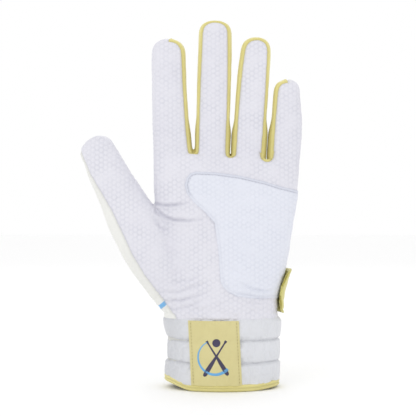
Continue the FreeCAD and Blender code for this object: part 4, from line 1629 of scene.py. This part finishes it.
labelCloth = labelPiece()
labelTree = treeOf(labelCloth)
finish(labelCloth, cloth["label"], wristBodies, ["wrist_label"], wristBlend)
labelSides = {"Left": label["stitchIn"], "Right": label["right"] - label["left"] - label["stitchIn"]}
for side, inside in labelSides.items():
    spots = []
    for v in (0.025, 0.5, 0.975):
        x = label["left"] + inside + label["slant"] * (1 - v)
        spots.append((x, label["low"] + (label["high"] - label["low"]) * v))
    row = rowOn(labelTree, spots, -1, 2.0)
    stitchRow("labelStitches" + side, row, cloth["labelThread"], wristBodies, wristBlend)

motif = {
    # each bat: handle end and barrel end, flat places on the label
    "bats": [((-9.6, 31.4), (3.6, 10.6)), ((2.4, 31.6), (-11.2, 9.8))],
    "batWidths": [
        (0, 0.95), (0.04, 1.0), (0.07, 0.55), (0.4, 0.7), (0.62, 1.35), (0.86, 1.75), (0.96, 1.45), (1, 0.7),
    ],
    "ball": (-3.6, 30.2, 2.5),
    "ring": {"centre": (-4.4, 21.4), "radius": 10.4, "from": 118, "to": 318, "wide": 0.95},
    "lift": 0.05,
    "wall": 0.16,
}


def printedShape(name, across, along, place, material):
    # a thin printed shape that lies on the label: place(u, v) gives flat coordinates
    mesh = bmesh.new()

    def onCloth(u, v):
        x, z = place(u, v)
        point = onSurface(labelTree, x * mm, z * mm, -1)[0]
        return point + Vector((0, -motif["lift"] * mm, 0))

    mappedGrid(mesh, across, along, onCloth)
    bmesh.ops.remove_doubles(mesh, verts=list(mesh.verts), dist=0.01 * mm)
    faceOut(mesh, front)
    bmesh.ops.solidify(mesh, geom=list(mesh.faces), thickness=motif["wall"] * mm)
    finish(makeObject(name, mesh), material, wristBodies, (), wristBlend)


for number, (handle, barrel) in enumerate(motif["bats"]):
    start, run = Vector(handle), Vector(barrel) - Vector(handle)
    side = Vector((-run.y, run.x)).normalized()

    def onBat(u, v):
        return start + run * v + side * between(motif["batWidths"], v)[0] * (u * 2 - 1) * 0.8

    printedShape(f"motifBat{number}", 4, 48, onBat, cloth["navy"])


def onBall(u, v):
    # a square grid rounded into a disc
    a, b = u * 2 - 1, v * 2 - 1
    x, z, radius = motif["ball"]
    return x + radius * a * math.sqrt(1 - b * b / 2), z + radius * b * math.sqrt(1 - a * a / 2)


def onRing(u, v):
    ring = motif["ring"]
    turn = math.radians(ring["from"] + (ring["to"] - ring["from"]) * v)
    radius = ring["radius"] + ring["wide"] * (u * 2 - 1) * (0.3 + 0.7 * v)
    return ring["centre"][0] + radius * math.cos(turn), ring["centre"][1] + radius * math.sin(turn)


printedShape("motifBall", 12, 12, onBall, cloth["navy"])
printedShape("motifRing", 4, 64, onRing, cloth["sky"])

tagLow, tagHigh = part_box("size_tag")


def tagPlace(u, v):
    x = tagLow.x + (tagHigh.x - tagLow.x) * u
    z = tagLow.z + (tagHigh.z - tagLow.z) * v
    half, depth = (inner["half"] - 1.1) * mm, (inner["depth"] - 1.2) * mm
    curl = 0.7 * mm * (1 - v) ** 2
    return Vector((x, depth * math.sqrt(1 - (x / half) ** 2) - curl, z))


tag = bmesh.new()
mappedGrid(tag, 24, 20, tagPlace)
bmesh.ops.recalc_face_normals(tag, faces=tag.faces)
bmesh.ops.solidify(tag, geom=list(tag.faces), thickness=0.35 * mm)
finish(makeObject("sizeTag", tag), cloth["loop"], "cuff", ["size_tag"])

# strap round the back of the wrist, its pull tab, and the hook and loop tapes under them

print("strap")
strapLow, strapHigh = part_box("strap_band")
strap = {
    "low": strapLow.z / mm, "high": strapHigh.z / mm, "lift": 2.3, "wall": 1.7,
    "anchor": -31.0, "join": 5.0, "wrap": -9.5, "corner": 10.0, "rim": 1.5, "middle": 61, "tapeEnd": 29.5,
}
# where the strap's skin goes over from the hand to the band, and from the band to the tab
bandBend = (Vector((-0.028, 0.018, 0.0605)), Vector((-0.017, 0.018, 0.0605)))
tabBend = (Vector((0.015, 0.018, 0.0605)), Vector((0.027, 0.018, 0.0605)))


def fromRound(tree, turn, height):
    # seen from outside in a direction round the glove's axis: the point and its outward direction
    out = Vector((math.cos(turn), math.sin(turn), 0))
    return tree.ray_cast(Vector((0, 0, height * mm)) + out * rayStart["round"], -out)[:2]


def aroundHand(turn, height, lift):
    # a point a little outside the glove
    point = fromRound(handTree, turn, height)[0]
    return point + Vector((math.cos(turn), math.sin(turn), 0)) * lift * mm


def girthTable():
    # how far round the wrist each direction lies, from the anchor over the back to the tab's end
    turns = [math.radians(step) for step in range(175, -25, -1)]
    points = [aroundHand(turn, strap["middle"], strap["lift"]) for turn in turns]
    lengths, total = [(0.0, turns[0], points[0])], 0.0
    for turn, point, before in zip(turns[1:], points[1:], points):
        total += (point - before).length / mm
        lengths.append((total, turn, point))
    return lengths


girth = girthTable()


def lengthWhere(test):
    return next(length for length, turn, point in girth if test(turn, point))


anchorLength = lengthWhere(lambda turn, point: point.x / mm > strap["anchor"] and point.y > 0)
joinLength = lengthWhere(lambda turn, point: point.x / mm > strap["join"] and point.y > 0)
endLength = lengthWhere(lambda turn, point: turn < 0 and point.y / mm < strap["wrap"])
girthTurns = [(length, turn) for length, turn, point in girth]


def strapHeight(length, v):
    # the strap's edge narrows to a round end at both ends
    half = (strap["high"] - strap["low"]) / 2
    middle = (strap["high"] + strap["low"]) / 2
    for end, least in ((length - anchorLength, 0.45), (endLength - length, 0.22)):
        t = max(0.0, end) / strap["corner"]
        if t < 1:
            half *= max(least, (1 - (1 - t) ** 2.2) ** (1 / 2.2))
    return middle + half * (v * 2 - 1), half


def strapPiece(name, start, end, cells):
    mesh = bmesh.new()

    def place(u, v):
        length = start + (end - start) * u
        z, half = strapHeight(length, v)
        turn = between(girthTurns, length)[0]
        lift = strap["lift"] - 2.0 * (1 - smoothStep(length - anchorLength, 1.5, 10))
        lift += 0.5 * smoothStep(z, 62, 72) * smoothStep(length, endLength - 16, endLength - 4)
        inside = min((1 - abs(v * 2 - 1)) * half, length - anchorLength, endLength - length)
        raised = 0.35 * math.exp(-((inside - 0.75) / 0.75) ** 4)
        raised -= 0.3 * bell(inside, strap["rim"] + 0.6, 0.45)
        soft = 0.25 * noise.noise(Vector((length * 0.09, z * 0.1, 8)))
        return aroundHand(turn, z, lift + strap["wall"] + raised + soft)

    mappedGrid(mesh, cells, 56, place)
    evenOut(mesh, 2, 0.3)
    faceOut(mesh)
    return makeObject(name, closeLayer(mesh, strap["wall"]))


band = strapPiece("strapBand", anchorLength, joinLength, 90)
finish(band, leather["strap"], ("hand", "strap"), ["strap_anchor", "strap_band"], bandBend)
end = strapPiece("strapEnd", joinLength, endLength, 90)
finish(end, leather["strap"], ("strap", "strap_tab"), ["pull_tab"], tabBend)
bandTree, endTree = treeOf(band), treeOf(end)


def strapRow(name, tree, start, end, v, bodies, zone):
    flats = []
    for step in range(41):
        length = start + (end - start) * step / 40
        z, half = strapHeight(length, v)
        turn = between(girthTurns, length)[0]
        point, normal = fromRound(tree, turn, z)
        if point:
            flats.append((point, normal))
    places = []
    for spot, along in evenly([point for point, normal in flats], stitch["pitch"] * mm):
        nearest = min(flats, key=lambda item: (item[0] - spot).length)
        places.append((spot, along, nearest[1]))
    stitchRow(name, places, cloth["labelThread"], bodies, zone)


for v, mark in ((0.15, "Low"), (0.85, "High")):
    strapRow("bandStitches" + mark, bandTree, anchorLength + 4, joinLength, v, ("hand", "strap"), bandBend)
    strapRow("endStitches" + mark, endTree, joinLength, endLength - 5, v, ("strap", "strap_tab"), tabBend)


def thinSheet(name, across, along, place, thickness, side):
    # a sheet through place(u, v), which faces one side
    mesh = bmesh.new()
    mappedGrid(mesh, across, along, place)
    faceOut(mesh, side)
    bmesh.ops.solidify(mesh, geom=list(mesh.faces), thickness=thickness * mm)
    return makeObject(name, mesh)


def tapePiece(name, node, low, high, material, body):
    # a flat tape that follows the glove between two distances outside it
    a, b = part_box(node)
    last = min(b.x, strap["tapeEnd"] * mm)
    start = lengthWhere(lambda turn, point: point.x > a.x and point.y > 0)
    end = lengthWhere(lambda turn, point: point.x > last and point.y > 0)

    def place(u, v):
        turn = between(girthTurns, start + (end - start) * u)[0]
        return aroundHand(turn, (a.z + (b.z - a.z) * v) / mm, high)

    tape = thinSheet(name, 40, 32, place, high - low, behind)
    finish(tape, material, body, [node])


tapePiece("loopPatch", "loop_patch", 0.05, 0.9, cloth["loop"], "hand")
tapePiece("bandHookPatch", "strap_hook_patch", 1.3, 2.15, cloth["hook"], "strap")
tapePiece("tabHookPatch", "tab_hook_patch", 1.3, 2.15, cloth["hook"], "strap_tab")

# elastic inside the wrist, and the stretch cloth behind the back's vent slit

elasticLow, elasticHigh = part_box("wrist_elastic")


def elasticPlace(u, v):
    turn = math.radians(-168 + 156 * u)
    height = (elasticLow.z + (elasticHigh.z - elasticLow.z) * v) / mm
    return aroundHand(turn, height, -1.15 + 0.18 * math.sin(u * 150))


elastic = thinSheet("wristElastic", 220, 10, elasticPlace, 0.8, front)
finish(elastic, cloth["elastic"], "hand", ["wrist_elastic"])


def gussetPlace(u, v):
    x = slitLow.x + (slitHigh.x - slitLow.x) * u
    z = slitLow.z + (slitHigh.z - slitLow.z) * v
    point = onSurface(handTree, x, z, 1)[0]
    return point - Vector((0, 1.05 * mm - 0.1 * mm * math.sin(u * 60), 0))


gusset = thinSheet("slitGusset", 48, 90, gussetPlace, 0.5, behind)
finish(gusset, cloth["stretch"], wristBodies, ["slit_gusset"], wristBlend)

# camera, light and floor

print("studio")
view = {"across": -8.7, "height": 112.8, "distance": 700.0, "width": 258.0, "front": -14.0}
lamps = {
    "key": {"place": (-0.55, -0.85, 0.8), "size": 0.8, "power": 1.6},
    "fill": {"place": (0.85, -0.7, 0.3), "size": 1.0, "power": 0.5},
    "rim": {"place": (0.1, 0.9, 0.9), "size": 0.9, "power": 0.8},
}


def studio():
    camera = bpy.data.objects.new("camera", bpy.data.cameras.new("camera"))
    scene.collection.objects.link(camera)
    scene.camera = camera
    camera.location = Vector((view["across"], view["front"] - view["distance"], view["height"])) * mm
    camera.rotation_euler = (math.radians(90), 0, 0)
    camera.data.lens = camera.data.sensor_width * view["distance"] / view["width"]
    camera.data.clip_start = 0.01
    floor = bmesh.new()
    bmesh.ops.create_grid(floor, x_segments=1, y_segments=1, size=4)
    ground = makeObject("floor", floor, False)
    plain = bpy.data.materials.new("floor")
    plain.use_nodes = True
    plain.node_tree.nodes["Principled BSDF"].inputs["Base Color"].default_value = (0.98, 0.98, 0.98, 1)
    plain.node_tree.nodes["Principled BSDF"].inputs["Roughness"].default_value = 0.9
    ground.data.materials.append(plain)
    world = bpy.data.worlds.new("studio")
    scene.world = world
    world.use_nodes = True
    world.node_tree.nodes["Background"].inputs["Color"].default_value = (1, 1, 1, 1)
    world.node_tree.nodes["Background"].inputs["Strength"].default_value = 1.0
    for name, values in lamps.items():
        lamp = bpy.data.objects.new(name, bpy.data.lights.new(name, "AREA"))
        lamp.data.energy = values["power"]
        lamp.data.size = values["size"]
        lamp.location = values["place"]
        lamp.rotation_euler = (Vector((0, 0, 0.12)) - lamp.location).to_track_quat("-Z", "Y").to_euler()
        scene.collection.objects.link(lamp)
    scene.view_settings.view_transform = "Standard"


studio()
